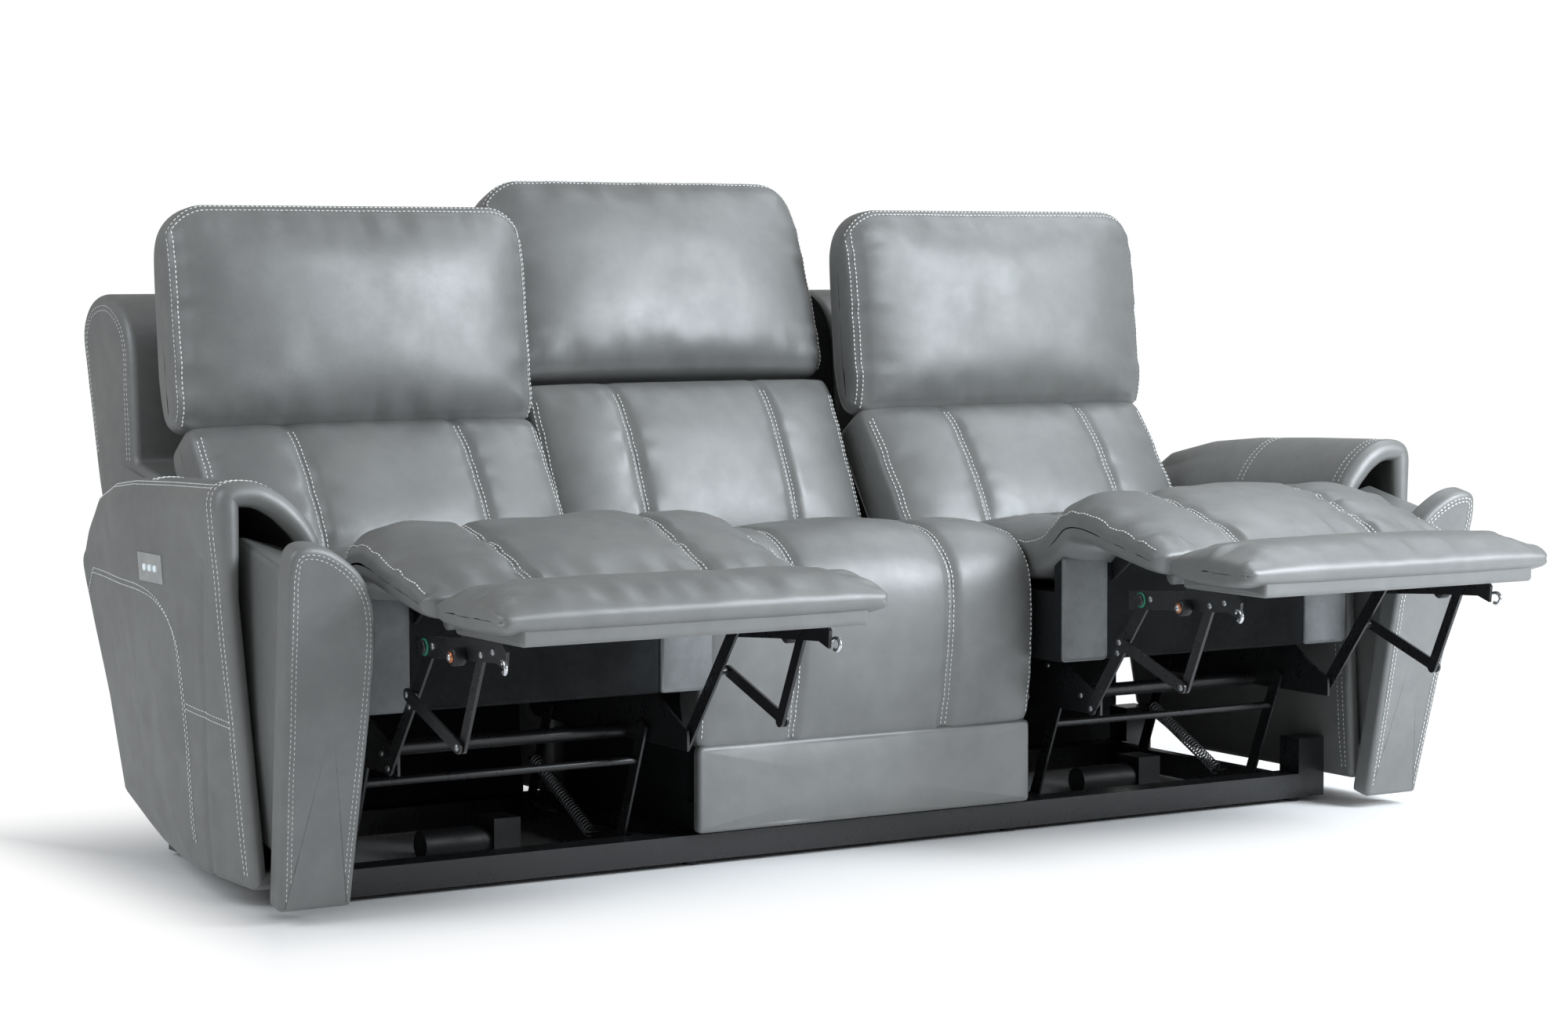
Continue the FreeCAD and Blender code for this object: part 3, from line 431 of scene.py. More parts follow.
@dataclass
class Pillow(Skin):
    """A cushion: superellipse ends and edges, a crowned front, sewn channels and slack in its cover.

    Its width is cut by a superellipse of power end, its profile by one of power edge. The front
    stands proud by crown * (1 - |x/half|^flat) * (1 - |2a/length - 1|^3), and each seam is a groove
    exp(-(dx / width)^2) with gathers beside it. corner_low and corner_high round the outline of
    the front, border presses a line in beside its edge, taper draws the gusset's ends in, and
    every dip is a bell (x, along, width, length, height). Noise is read at so many lattice cells
    per metre.
    """

    CHANNEL = 0.035  # reach over which a channel puffs up beside its seam
    GROOVE = 0.012
    GATHER_AT, GATHER_WIDTH = 0.016, 0.016  # gathers beside a seam
    RUFFLE_AT, RUFFLE_WIDTH = 0.03, 0.026  # gathers beside the edge
    BORDER_DEPTH, BORDER_WIDTH = 0.0022, 0.004

    middle: float
    half: float
    spine: Spine
    thick: Callable[[Array], Array]
    crown: float = 0.02
    end: float = 9.0
    edge: float = 7.0
    corner_low: float = 0.02
    corner_high: float = 0.05
    seams: tuple[float, ...] = ()
    seam_depth: float = 0.006
    slack: float = 0.002
    gather: float = 0.0015
    seed: int = 1
    dips: tuple[tuple[float, float, float, float, float], ...] = ()
    border: float = 0.0
    taper: float = 0.0
    flat: float = 3.0
    puff: float = 0.009

    def __post_init__(self) -> None:
        """Prepares the two unit curves and the noise."""
        share, a, b = box_curve(self.end)
        upper = slice(0, len(share) // 2 + 1)
        self.s_share = share[upper] * 2
        self.s_x, self.s_b = -a[upper], np.abs(b[upper])
        self.t_share, self.t_a, self.t_b = box_curve(self.edge)
        self.ripple = Ripple(self.seed)

    def across(self, x: float) -> float:
        """The parameter s at which the front stands at a place x across the cushion."""
        flat = self.s_b > 0.5
        return float(np.interp(x / self.half, self.s_x[flat], self.s_share[flat]))

    def front(self, a: float) -> float:
        """The parameter t of the front at a share a of its length."""
        face = (self.t_share > 0) & (self.t_share < 0.5) & (self.t_b > 0.6)
        return float(np.interp(-(2 * a - 1), -self.t_a[face], self.t_share[face]))

    def cut(self, x: Array, radius: float) -> Array:
        """How far a corner of the front's outline draws its end in at x."""
        over = np.clip(np.abs(x) - (self.half - radius), 0, radius)
        return radius - np.sqrt(np.maximum(radius ** 2 - over ** 2, 0))

    def points(self, s: Array, t: Array) -> Array:
        """Positions on the cushion."""
        x = self.half * np.interp(s, self.s_share, self.s_x)
        body = np.interp(s, self.s_share, self.s_b)
        fa, fb = np.interp(t, self.t_share, self.t_a), np.interp(t, self.t_share, self.t_b)
        low, high = self.cut(x, self.corner_low), self.spine.length - self.cut(x, self.corner_high)
        a = (low + high) / 2 + fa * (high - low) / 2
        thick = self.thick(a / self.spine.length)
        b = thick * (0.5 + 0.5 * fb * body)
        front = np.clip(fb, 0, 1) ** 1.5
        wide, long = np.abs(x / self.half), np.abs(2 * a / self.spine.length - 1)
        dome = (1 - wide ** self.flat) * (1 - long ** 3)
        rise = self.crown * dome
        edge = np.minimum(np.minimum(self.half - np.abs(x), a - low), high - a)
        if self.seams:
            nearest = np.min([np.abs(x - seam) for seam in self.seams], axis=0)
            rise = rise + self.puff * dome * (1 - np.exp(-nearest / self.CHANNEL))
        for seam in self.seams:
            gap = x - seam
            rise = rise - self.seam_depth * bell(gap, self.GROOVE)
            pull = self.ripple(a * 55 + seam * 90, gap * 12 + 7)
            rise = rise + self.gather * bell(np.abs(gap) - self.GATHER_AT, self.GATHER_WIDTH) * pull
        soft = self.ripple(x * 9 + self.seed, a * 9) + 0.5 * self.ripple(x * 21, a * 17 + self.seed)
        rise = rise + self.slack * soft * (0.35 + 0.65 * dome)
        around = np.where(self.half - np.abs(x) < np.minimum(a - low, high - a), a, x)
        ruffle = self.ripple(around * 58 + 3 * self.seed, edge * 8)
        rise = rise + self.gather * ruffle * bell(edge - self.RUFFLE_AT, self.RUFFLE_WIDTH)
        if self.border:
            rise = rise - self.BORDER_DEPTH * bell(edge - self.border, self.BORDER_WIDTH)
        for at_x, at_a, size_x, size_a, height in self.dips:
            rise = rise + height * bell(x - at_x, size_x) * bell(a - at_a, size_a)
        b = b + rise * front
        x = x * (1 - self.taper * (1 - np.abs(fb)) ** 2)
        spot, out = self.spine.at(a)
        spot = spot + out * (b - thick)[..., None]
        return np.stack([self.middle + x, spot[..., 0] + FRONT, spot[..., 1]], axis=-1)

    def stations(self) -> Array:
        """Values of s, with more of them round each seam and at both ends."""
        values = [np.linspace(0, 1, 84)]
        for seam in self.seams:
            values.append(np.linspace(self.across(seam - 0.02), self.across(seam + 0.02), 21))
        for low in (0.0, 0.86):
            values.append(np.linspace(low, low + 0.14, 24))
        merged = np.unique(np.round(np.concatenate(values), 5))
        keep = np.concatenate([[True], np.diff(merged) > 0.0008])
        keep[-1] = True
        return merged[keep]

    def rounds(self) -> Array:
        """Values of t, once round the profile."""
        return np.linspace(0, 1, 132, endpoint=False)


class Plane(Enum):
    """The plane of a slab's outline."""

    SIDE = "yz"
    FACE = "xz"


@dataclass
class Slab(Skin):
    """An upholstered block: an outline with rolled edges and puffed faces.

    From each face's middle the outline's copy grows to full size, turns over an edge roll of
    radius roll, and runs straight to the other face. puff is each face's height in its middle.
    The outline, its middle and the depth between the faces are in millimetres. A block in the
    plane FACE leans back by lean, and then tilts forward by tilt about its pivot (y, z).
    """

    outline: Sequence[tuple[float, float]]
    middle: tuple[float, float]
    depth: tuple[float, float]
    plane: Plane = Plane.SIDE
    roll: float = 0.012
    puff: tuple[float, float] = (0.006, 0.006)
    slack: float = 0.0008
    seed: int = 3
    lean: float = 0.0
    tilt: float = 0.0
    mirror: int = 1
    pivot: tuple[float, float] = (0.0, 0.0)

    CAP = 0.3
    TURN = 0.4

    def __post_init__(self) -> None:
        """Samples the outline and its outward normals."""
        self.share, line = even_loop(self.outline)
        self.line = line / 1000
        step = np.roll(self.line[:-1], -6, axis=0) - np.roll(self.line[:-1], 6, axis=0)
        normal = np.stack([step[:, 1], -step[:, 0]], axis=1)
        area = np.sum(self.line[:-1, 0] * np.roll(self.line[:-1, 1], -1)
                      - np.roll(self.line[:-1, 0], -1) * self.line[:-1, 1])
        normal *= np.sign(area) / np.linalg.norm(normal, axis=1, keepdims=True)
        self.normal = np.concatenate([normal, normal[:1]])
        self.ripple = Ripple(self.seed)

    def points(self, s: Array, t: Array) -> Array:
        """Positions on the block."""
        base, normal = pick(t, self.share, self.line), pick(t, self.share, self.normal)
        near = np.minimum(s, 1 - s)
        grow = np.clip(near / self.CAP, 0, 1)
        turn = np.clip((near - self.CAP) / (self.TURN - self.CAP), 0, 1) * np.pi / 2
        run = np.clip((s - self.TURN) / (1 - 2 * self.TURN), 0, 1)
        inset = self.roll * (1 - np.sin(turn))
        edge = base - normal * inset[..., None]
        centre = np.array(self.middle) / 1000
        flat = centre + (edge - centre) * grow[..., None]
        lift = self.roll * (1 - np.cos(turn))
        start, end = self.depth[0] / 1000, self.depth[1] / 1000
        soft = self.slack * self.ripple(flat[..., 0] * 14 + self.seed, flat[..., 1] * 14)
        soft = soft * np.where(turn > 0, 0, 1)
        low = start + lift - self.puff[0] * (1 - grow ** 3) - soft
        high = end - lift + self.puff[1] * (1 - grow ** 3) + soft
        d = np.where(s < self.TURN, low, np.where(s > 1 - self.TURN, high,
                                                  start + self.roll + (end - start - 2 * self.roll) * run))
        if self.plane is Plane.SIDE:
            return np.stack([d, flat[..., 0] + FRONT, flat[..., 1]], axis=-1)
        y, z = d, flat[..., 1]
        for angle, (cy, cz) in ((-self.lean, FOOT), (self.tilt, self.pivot)):
            c, w = math.cos(math.radians(angle)), math.sin(math.radians(angle))
            y, z = cy + (y - cy) * c - (z - cz) * w, cz + (y - cy) * w + (z - cz) * c
        return np.stack([self.mirror * flat[..., 0], y + FRONT, z], axis=-1)

    def inset(self, t: Array, distance: float, lowest: float = 0.0, far: bool = False) -> tuple[Array, Array]:
        """Parameters of a row on a face at a distance from its roll, above a lowest height.

        The distance is measured square to the outline: s = CAP (1 - distance / (n . (edge - middle))).
        """
        base, normal = pick(t, self.share, self.line), pick(t, self.share, self.normal)
        reach = np.sum(normal * (base - normal * self.roll - np.array(self.middle) / 1000), axis=-1)
        s = self.CAP * (1 - distance / np.maximum(reach, 0.02))
        keep = base[:, 1] > lowest
        return (1 - s if far else s)[keep], t[keep]

    def stations(self) -> Array:
        """Values of s: the faces, both rolls and the run between them."""
        cap, turn = self.CAP, self.TURN
        return np.concatenate([np.linspace(0, cap, 22), np.linspace(cap, turn, 9)[1:],
                               np.linspace(turn, 1 - turn, 14)[1:], np.linspace(1 - turn, 1 - cap, 9)[1:],
                               np.linspace(1 - cap, 1, 22)[1:]])

    def rounds(self, count: int = 240) -> Array:
        """Values of t, once round the outline."""
        return np.linspace(0, 1, count, endpoint=False)


@dataclass
class ArmBody(Skin):
    """The hollow arm: a section swept from its rear to its front, over a lip and back inside.

    The section's top falls and its flared side turns in towards the rear. s passes the rear
    face, its fold, the outer skin, the lip's half circle, the hollow and its end.
    """

    side: int

    LIP, ROLL, WALL = 0.012, 0.02, 0.017
    SHIFT = 0.022  # from the leaning plane through the arm's foot back to its lip
    MIDDLE = (0.922, 0.075, 0.3)  # x of the arm's inner face, and the section's middle
    STOPS = (0.0, 0.10, 0.14, 0.70, 0.80, 0.97, 1.0)
    TOPS = ((-0.05, 612), (0.28, 606), (0.5, 600), (0.66, 590), (0.82, 566), (0.93, 524), (1, 484))
    TOES = ((0, 0), (0.28, 0), (0.5, 3.6), (0.66, 13.5), (0.82, 28), (1, 45))
    REARS = ((45, 492), (70, 560), (109, 655), (250, 690), (400, 724), (491, 745), (620, 775))

    def __post_init__(self) -> None:
        """Prepares the noise."""
        self.ripple = Ripple(21 + self.side)

    def section(self, depth: Array, t: Array) -> tuple[Array, Array, Array, Array]:
        """Across and height of the section, and its outward normal, at a share of the arm's depth.

        The section is a ring of eleven controls; the top's fall and the toe-in move them.
        """
        top = np.interp(depth, *zip(*self.TOPS)) / 1000
        toe = np.interp(depth, *zip(*self.TOES)) / 1000
        share, ring = SECTION
        drop = 0.612 - top
        u, z = ring_at(share, ring, t)
        du, dz = np.subtract(ring_at(share, ring, (t + 0.004) % 1), ring_at(share, ring, (t - 0.004) % 1))
        length = np.maximum(np.hypot(du, dz), 1e-9)
        lift = np.clip((z - 0.25) / 0.30, 0, 1)
        outer = np.clip((u - 0.05) / 0.06, 0, 1)
        return u - toe * outer, z - drop * lift, -dz / length, du / length

    def front(self, z: Array) -> Array:
        """y of the lip at a height."""
        return FOOT[0] + (z - FOOT[1]) * math.tan(math.radians(LEAN)) + self.SHIFT

    def rear(self, z: Array) -> Array:
        """y of the rear face at a height."""
        return np.interp(z * 1000, *zip(*self.REARS)) / 1000

    def points(self, s: Array, t: Array) -> Array:
        """Positions on the arm."""
        a, b, c, d, e, f, g = self.STOPS
        rear = np.clip((s - a) / (b - a), 0, 1)
        fold = np.clip((s - b) / (c - b), 0, 1) * np.pi / 2
        run = np.clip((s - c) / (d - c), 0, 1)
        lip = np.clip((s - d) / (e - d), 0, 1) * np.pi
        inner = np.clip((s - e) / (f - e), 0, 1)
        shut = np.clip((s - f) / (g - f), 0, 1)
        depth = np.where(s < d, 1 - run, 0.0) + inner * 0.5
        u, z, nu, nz = self.section(depth, t)
        roll = self.ROLL
        top_lip = self.LIP * (1 + 0.5 * np.clip((z - 0.45) / 0.12, 0, 1))
        wall = 2 * top_lip - (2 * top_lip - self.WALL) * np.clip(inner * 5, 0, 1)
        inset = (roll * (1 - np.sin(fold)) * (s < c) + top_lip * (1 - np.cos(lip)) * (s >= d) * (s < e)
                 + wall * (s >= e))
        u, z = u - nu * inset, z - nz * inset
        face, centre_u, centre_z = self.MIDDLE
        scale = np.where(s < b, rear, 1 - shut)
        u, z = centre_u + (u - centre_u) * scale, centre_z + (z - centre_z) * scale
        front = self.front(z)
        reach = front + (self.rear(z) - front - roll) * np.clip(depth, 0, 1)
        y = reach + roll * np.cos(fold) * (s < c) + 0.004 * (1 - rear ** 2) * (s < b) - top_lip * np.sin(lip)
        outer = np.clip((u - 0.09) / 0.03, 0, 1) * (s < d) * (s > b)
        puff = 0.0015 * self.ripple(y * 8, z * 8) + 0.0008 * self.ripple(y * 20, z * 17 + 4)
        y_seam = np.interp(z * 1000, *zip(*SIDE_SEAM)) / 1000
        panel = bell(y - y_seam, 0.006) * 0.0025 * (z < 0.5)
        u = u + outer * (puff - panel)
        return np.stack([self.side * (face + u), y + FRONT, z], axis=-1)

    def stations(self) -> Array:
        """Values of s, denser on the folds and the lip."""
        runs = zip(self.STOPS, self.STOPS[1:], (10, 9, 90, 20, 26, 6))
        return np.concatenate([[0.0]] + [np.linspace(low, high, count + 1)[1:] for low, high, count in runs])

    def rounds(self, count: int = 260) -> Array:
        """Values of t, once round the section."""
        return np.linspace(0, 1, count, endpoint=False)

    def spot(self, y: float, z: float) -> tuple[float, float]:
        """Parameters of the outer side at a depth y and height z, both in metres."""
        depth = (y - self.front(z)) / (self.rear(z) - self.front(z) - self.ROLL)
        stops = self.STOPS
        s = stops[3] - (stops[3] - stops[2]) * depth
        t = np.linspace(OUTER_FROM, OUTER_TO, 240)
        heights = self.points(np.full_like(t, s), t)[:, 2]
        order = np.argsort(heights)
        return s, float(np.interp(z, heights[order], t[order]))


def ring_at(share: Array, ring: Array, t: Array) -> tuple[Array, Array]:
    """Across and height of a closed ring at t."""
    return np.interp(t, share, ring[:, 0]), np.interp(t, share, ring[:, 1])


# The arm's section at its front, from the inner bottom corner: across, height and roll in
# millimetres. OUTER_FROM and OUTER_TO bound its flared side, where SIDE_SEAM runs by (z, y).
_CONTROLS = [(13, 45, 8), (8, 490, 30), (4, 518, 12), (20, 552, 25), (52, 587, 30), (92, 610, 30),
             (128, 613, 18), (154, 606, 16), (163, 586, 14), (160, 545, 20), (127, 45, 8)]
_share, _ring = even_loop(rounded(_CONTROLS, 8), 2400)
SECTION = (_share, _ring / 1000)
OUTER_FROM, OUTER_TO = 0.56, 0.93
SIDE_SEAM = [(45, 200), (200, 192), (300, 180), (400, 168), (460, 160), (500, 150)]


# Making pieces


@dataclass
class Bend:
    """Two bodies and two points about a joint that a piece crosses."""

    first: str
    second: str
    start: tuple[float, float, float]
    end: tuple[float, float, float]


def lattice(rows: int, columns: int) -> Array:
    """Four-sided faces of a grid of points whose columns run round in a ring."""
    index = np.arange(rows * columns).reshape(rows, columns)
    across = np.roll(index, -1, axis=1)
    return np.stack([index[:-1], across[:-1], across[1:], index[1:]], axis=-1).reshape(-1, 4)


def link(name: str, data: bpy.types.ID) -> bpy.types.Object:
    """A new object in the scene."""
    made = bpy.data.objects.new(name, data)
    bpy.context.scene.collection.objects.link(made)
    return made


class Workshop:
    """Turns arrays into pieces and hands them to the frame."""

    STITCH = 0.0052
    STITCH_PITCH = 0.0078
    THREAD = 0.00105
    SIDES_TURNED, SIDES_TUBE = 20, 12

    def __init__(self, finishes: Finishes) -> None:
        """Keeps the finishes."""
        self.finishes = finishes

    def piece(self, name: str, vertices: Array, faces: Array | list[list[int]], finish: str, body: str,
              bend: Bend | None = None, mend: bool = False) -> bpy.types.Object:
        """Makes one mesh piece.

        Args:
            name: Its name.
            vertices: Its points, in metres.
            faces: Its faces.
            finish: The name of its finish.
            body: The body that it rides on.
            bend: Set where it crosses a joint instead.
            mend: Whether doubles are merged and faces turned outwards.

        Returns:
            The piece.
        """
        mesh = bpy.data.meshes.new(name)
        mesh.from_pydata(vertices.tolist(), [], faces.tolist() if isinstance(faces, np.ndarray) else faces)
        if mend:
            shell = bmesh.new()
            shell.from_mesh(mesh)
            bmesh.ops.remove_doubles(shell, verts=shell.verts, dist=0.00002)
            bmesh.ops.recalc_face_normals(shell, faces=shell.faces)
            shell.to_mesh(mesh)
            shell.free()
        mesh.polygons.foreach_set("use_smooth", np.ones(len(mesh.polygons), bool))
        mesh.materials.append(self.finishes[finish])
        made = link(name, mesh)
        if bend is None:
            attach(made, body)
        else:
            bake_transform(made)
        LOG.info("%s: %d faces on %s", name, len(mesh.polygons), body)
        return made

    def skin(self, name: str, skin: Skin, body: str, *replaced: str, finish: str = "grey_leather",
             bend: Bend | None = None, fill: float | None = 0.8) -> None:
        """Meshes a surface of two parameters on the grid of its own stations and rounds."""
        s, t = np.meshgrid(skin.stations(), skin.rounds(), indexing="ij")
        made = self.piece(name, skin.points(s, t).reshape(-1, 3), lattice(*s.shape), finish, body, bend,
                          mend=True)
        if replaced:
            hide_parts(*replaced)

    def stitches(self, name: str, skin: Skin, lines: Rows, body: str, bend: Bend | None = None) -> None:
        """Sews rows of thread along lines on a surface.

        Each line is given by s and t along it. A stitch is a four-sided spindle laid along the
        line, thinner at both ends than between them.
        """
        corner = np.array([[1, 0], [0, 1], [-1, 0], [0, -1]]) * self.THREAD
        places = np.array([-0.5, -0.32, 0.32, 0.5])
        swell = np.array([0.35, 1.0, 1.0, 0.35])[None, :, None, None]
        spindle = np.concatenate([lattice(4, 4), [(3, 2, 1, 0), (12, 13, 14, 15)]])
        vertices, faces, base = [], [], 0
        for s, t in lines:
            spots, ups = skin.points(s, t), skin.normals(s, t)
            length = lengths(spots)
            marks = np.arange(self.STITCH_PITCH / 2, length[-1], self.STITCH_PITCH)
            if not len(marks):
                continue
            ends = [pick(marks + shift, length, spots) for shift in (-self.STITCH / 2, self.STITCH / 2)]
            along = unit(ends[1] - ends[0])
            up = pick(marks, length, ups)
            up = unit(up - along * np.sum(up * along, axis=1, keepdims=True))
            side = np.cross(along, up)
            middle = (ends[0] + ends[1]) / 2 + up * self.THREAD * 0.5
            ring = (middle[:, None, None] + along[:, None, None] * (places * self.STITCH)[None, :, None, None]
                    + side[:, None, None] * (corner[:, 0][None, None, :, None] * swell)
                    + up[:, None, None] * (corner[:, 1][None, None, :, None] * swell))
            vertices.append(ring.reshape(-1, 3))
            offsets = base + 16 * np.arange(len(marks))
            faces.append((spindle[None] + offsets[:, None, None]).reshape(-1, 4))
            base += 16 * len(marks)
        self.piece(name, np.concatenate(vertices), np.concatenate(faces), "pale_thread", body, bend)

    def turned(self, name: str, spots: Sequence[tuple[float, float, float, int]],
               profile: Sequence[tuple[float, float]], finish: str, body: str) -> None:
        """Turned pieces along X: a profile of (out, radius) spun about X at each spot (x, y, z, way)."""
        angle = np.linspace(0, 2 * np.pi, self.SIDES_TURNED, endpoint=False)
        shape = np.asarray(profile) / 1000
        size = (len(shape), len(angle))
        vertices = [np.stack([np.broadcast_to(x / 1000 + way * shape[:, :1], size),
                              y / 1000 + FRONT + shape[:, 1:] * np.cos(angle),
                              z / 1000 + shape[:, 1:] * np.sin(angle) * way], axis=-1).reshape(-1, 3)
                    for x, y, z, way in spots]
        faces = [lattice(*size) + number * size[0] * size[1] for number in range(len(spots))]
        self.piece(name, np.concatenate(vertices), np.concatenate(faces), finish, body, mend=True)

    def tube(self, name: str, points: Sequence[tuple[float, float, float]], radius: float, finish: str,
             body: str) -> bpy.types.Object:
        """A round bar along a smooth line through points, in millimetres, with closed ends."""
        line = catmull(np.asarray(points, float) / 1000, 10 * (len(points) - 1) + 1)
        along = unit(np.gradient(line, axis=0))
        side = unit(np.cross(along, np.array([0.31, 0.2, 0.93])))
        up = np.cross(along, side)
        angle = np.linspace(0, 2 * np.pi, self.SIDES_TUBE, endpoint=False)[None, :, None]
        circle = (line[:, None] + side[:, None] * np.cos(angle) * (radius / 1000)
                  + up[:, None] * np.sin(angle) * (radius / 1000))
        circle[..., 1] += FRONT
        rows, sides = circle.shape[:2]
        caps = [list(range(sides - 1, -1, -1)), list(range((rows - 1) * sides, rows * sides))]
        return self.piece(name, circle.reshape(-1, 3), lattice(rows, sides).tolist() + caps, finish, body)

    def dress(self, finish: str, *names: str) -> None:
        """Gives nodes of the frame a finish."""
        for name in names:
            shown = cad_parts[name]
            shown.data.materials.clear()
            shown.data.materials.append(self.finishes[finish])


def seams(pillow: Pillow, high: float = 0.985, count: int = 160) -> Rows:
    """Two rows of stitches beside each of a cushion's seams, up to a share of its length."""
    t = np.linspace(pillow.front(0.02), pillow.front(high), count)
    return [(np.full(count, pillow.across(x + shift)), t)
            for x in pillow.seams for shift in (-0.0042, 0.0042)]


def rim(pillow: Pillow, inset: float, low: float = 0.0, high: float = 0.97, top: bool = True,
        count: int = 200) -> Rows:
    """Rows of stitches up both sides of a cushion's front, and across its top, at an inset."""
    reach = pillow.half - inset
    t = np.linspace(pillow.front(low), pillow.front(high), count)
    rows = [(np.full(count, pillow.across(way * reach)), t) for way in (-1, 1)]
    if top:
        s = np.linspace(pillow.across(-reach), pillow.across(reach), count)
        rows.append((s, np.full(count, pillow.front(1 - inset / pillow.spine.length))))
    return rows


def seat_rows(pillow: Pillow, inset: float) -> Rows:
    """The rows of stitches on a seat's cover."""
    return seams(pillow, count=400) + rim(pillow, inset, low=0.02, top=False, count=400)


def steady(*pairs: tuple[float, float]) -> Callable[[Array], Array]:
    """A thickness in metres that runs between (share of length, thickness in millimetres)."""
    shares, values = zip(*pairs)
    return lambda a: np.interp(a, shares, np.array(values) / 1000)


@dataclass
class Maker:
    """Makes one group of pieces in a workshop."""

    shop: Workshop


class Backs(Maker):
    """Lumbar and head cushions and the shells behind them, for all three seats."""

    OUTER_SHELL = [(560, 300, 14), (537.3, 368.8, 8), (686.3, 581.8, 6), (785, 600, 8), (800, 815, 60),
                   (878, 866, 60), (972, 858, 46), (1014, 806, 30), (935, 520, 60), (800, 330, 40),
                   (700, 300, 30)]
    MIDDLE_SHELL = [(600, 48, 6), (600, 330, 10), (650, 360, 8), (777, 632, 6), (799, 658, 6), (884, 880, 30),
                    (945, 905, 30), (1002, 884, 30), (1018, 855, 30), (905, 150, 60), (880, 48, 6)]
    HEAD = dict(crown=0.036, end=5.4, edge=4.8, corner_low=0.03, slack=0.0018, gather=0.0046, border=0.016)
    LUMBAR = dict(end=8, edge=7, corner_low=0.012, corner_high=0.014, seams=CHANNELS, slack=0.0016,
                  gather=0.0028, border=0.014)
    INNER, OUTER = 0.236, 0.318  # from a recliner's centre to the ends of its shell

    def build(self) -> None:
        """Makes every back."""
        for side in Side:
            self.outer(side)
        self.middle()

    def cushions(self, word: str, rest: str, head: Pillow, head_node: str, back: str, lumbar: Pillow,
                 lumbar_node: str) -> None:
        """Head cushion on the body rest and lumbar cushion on the body back, with their stitches."""
        self.shop.skin(f"head_{word}", head, rest, head_node)
        self.shop.stitches(f"head_stitches_{word}", head, rim(head, 0.004) + rim(head, 0.0105), rest)
        self.shop.skin(f"lumbar_{word}", lumbar, back, lumbar_node)
        rows = seams(lumbar, high=0.9)
        for inset in (0.009, 0.0155):
            rows += rim(lumbar, inset, high=0.9, top=False)
        self.shop.stitches(f"lumbar_stitches_{word}", lumbar, rows, back)

    def outer(self, side: Side) -> None:
        """One reclining back and its headrest."""
        word, way, x = side.word, side.value, side.value * PITCH
        back = f"back_{word}"
        head = Pillow(x + way * 0.006, 0.307, Spine.straight((706, 641), 83, 353, 110),
                      steady((0, 100), (0.25, 112), (0.8, 104), (1, 88)), corner_high=0.066, seed=31 + way,
                      dips=((0.0, 0.345, 0.17, 0.05, -0.008), (-0.2, 0.05, 0.12, 0.05, 0.006),
                            (0.2, 0.05, 0.12, 0.05, 0.006)), **self.HEAD)
        lumbar = Pillow(x, HALF, Spine.straight((537, 369), 55, 288, 118), steady((0, 118), (1, 116)),
                        crown=0.028, seed=41 + way, **self.LUMBAR)
        self.cushions(word, f"headrest_{word}", head, f"head_cushion_{word}",
                      back, lumbar, f"lumbar_cushion_{word}")
        ends = sorted((way * (PITCH - self.INNER) * 1000, way * (PITCH + self.OUTER) * 1000))
        shell = Slab(rounded(self.OUTER_SHELL), (850, 600), (ends[0], ends[1]), roll=0.014,
                     puff=(0.004, 0.004), slack=0.0015, seed=51 + way)
        self.shop.skin(f"shell_{word}", shell, back, f"back_shell_{word}", fill=0.9)
        # Two rows just inside the front and top edges of both side faces
        t = np.linspace(0, 1, 900)
        rows = [shell.inset(t, distance, 0.605, far) for distance in (0.004, 0.0115) for far in (False, True)]
        self.shop.stitches(f"shell_stitches_{word}", shell, rows, back)
        # Black cloth sheet on the shell's inner face; its black also paints the shade that falls on that face
        inner = way * (PITCH - self.INNER - 0.002) * 1000
        lining = Slab(rounded(self.OUTER_SHELL), (850, 600), tuple(sorted((inner, inner - way * 3))),
                      roll=0.0014, puff=(0.002, 0.002), seed=57)
        self.shop.skin(f"shell_lining_{word}", lining, back, finish="black_cloth", fill=None)

    def middle(self) -> None:
        """The fixed back."""
        head = Pillow(0.0, 0.304, Spine.straight((809, 680), 69, 352, 140),
                      steady((0, 134), (0.25, 146), (0.8, 134), (1, 112)), corner_high=0.070, seed=61,
                      dips=((0.0, 0.36, 0.16, 0.06, -0.004), (0.0, 0.03, 0.2, 0.05, 0.008)), **self.HEAD)
        lumbar = Pillow(0.0, HALF - 0.001, Spine.straight((650, 360), 65, 338, 130),
                        steady((0, 130), (1, 128)), crown=0.032, seed=62, **self.LUMBAR)
        self.cushions("middle", "base", head, "middle_head_cushion", "base", lumbar, "middle_lumbar_cushion")
        shell = Slab(rounded(self.MIDDLE_SHELL), (860, 500), (-298, 298), roll=0.012, puff=(0.003, 0.003),
                     seed=63)
        self.shop.skin("shell_middle", shell, "base", "middle_back_shell", fill=0.9)


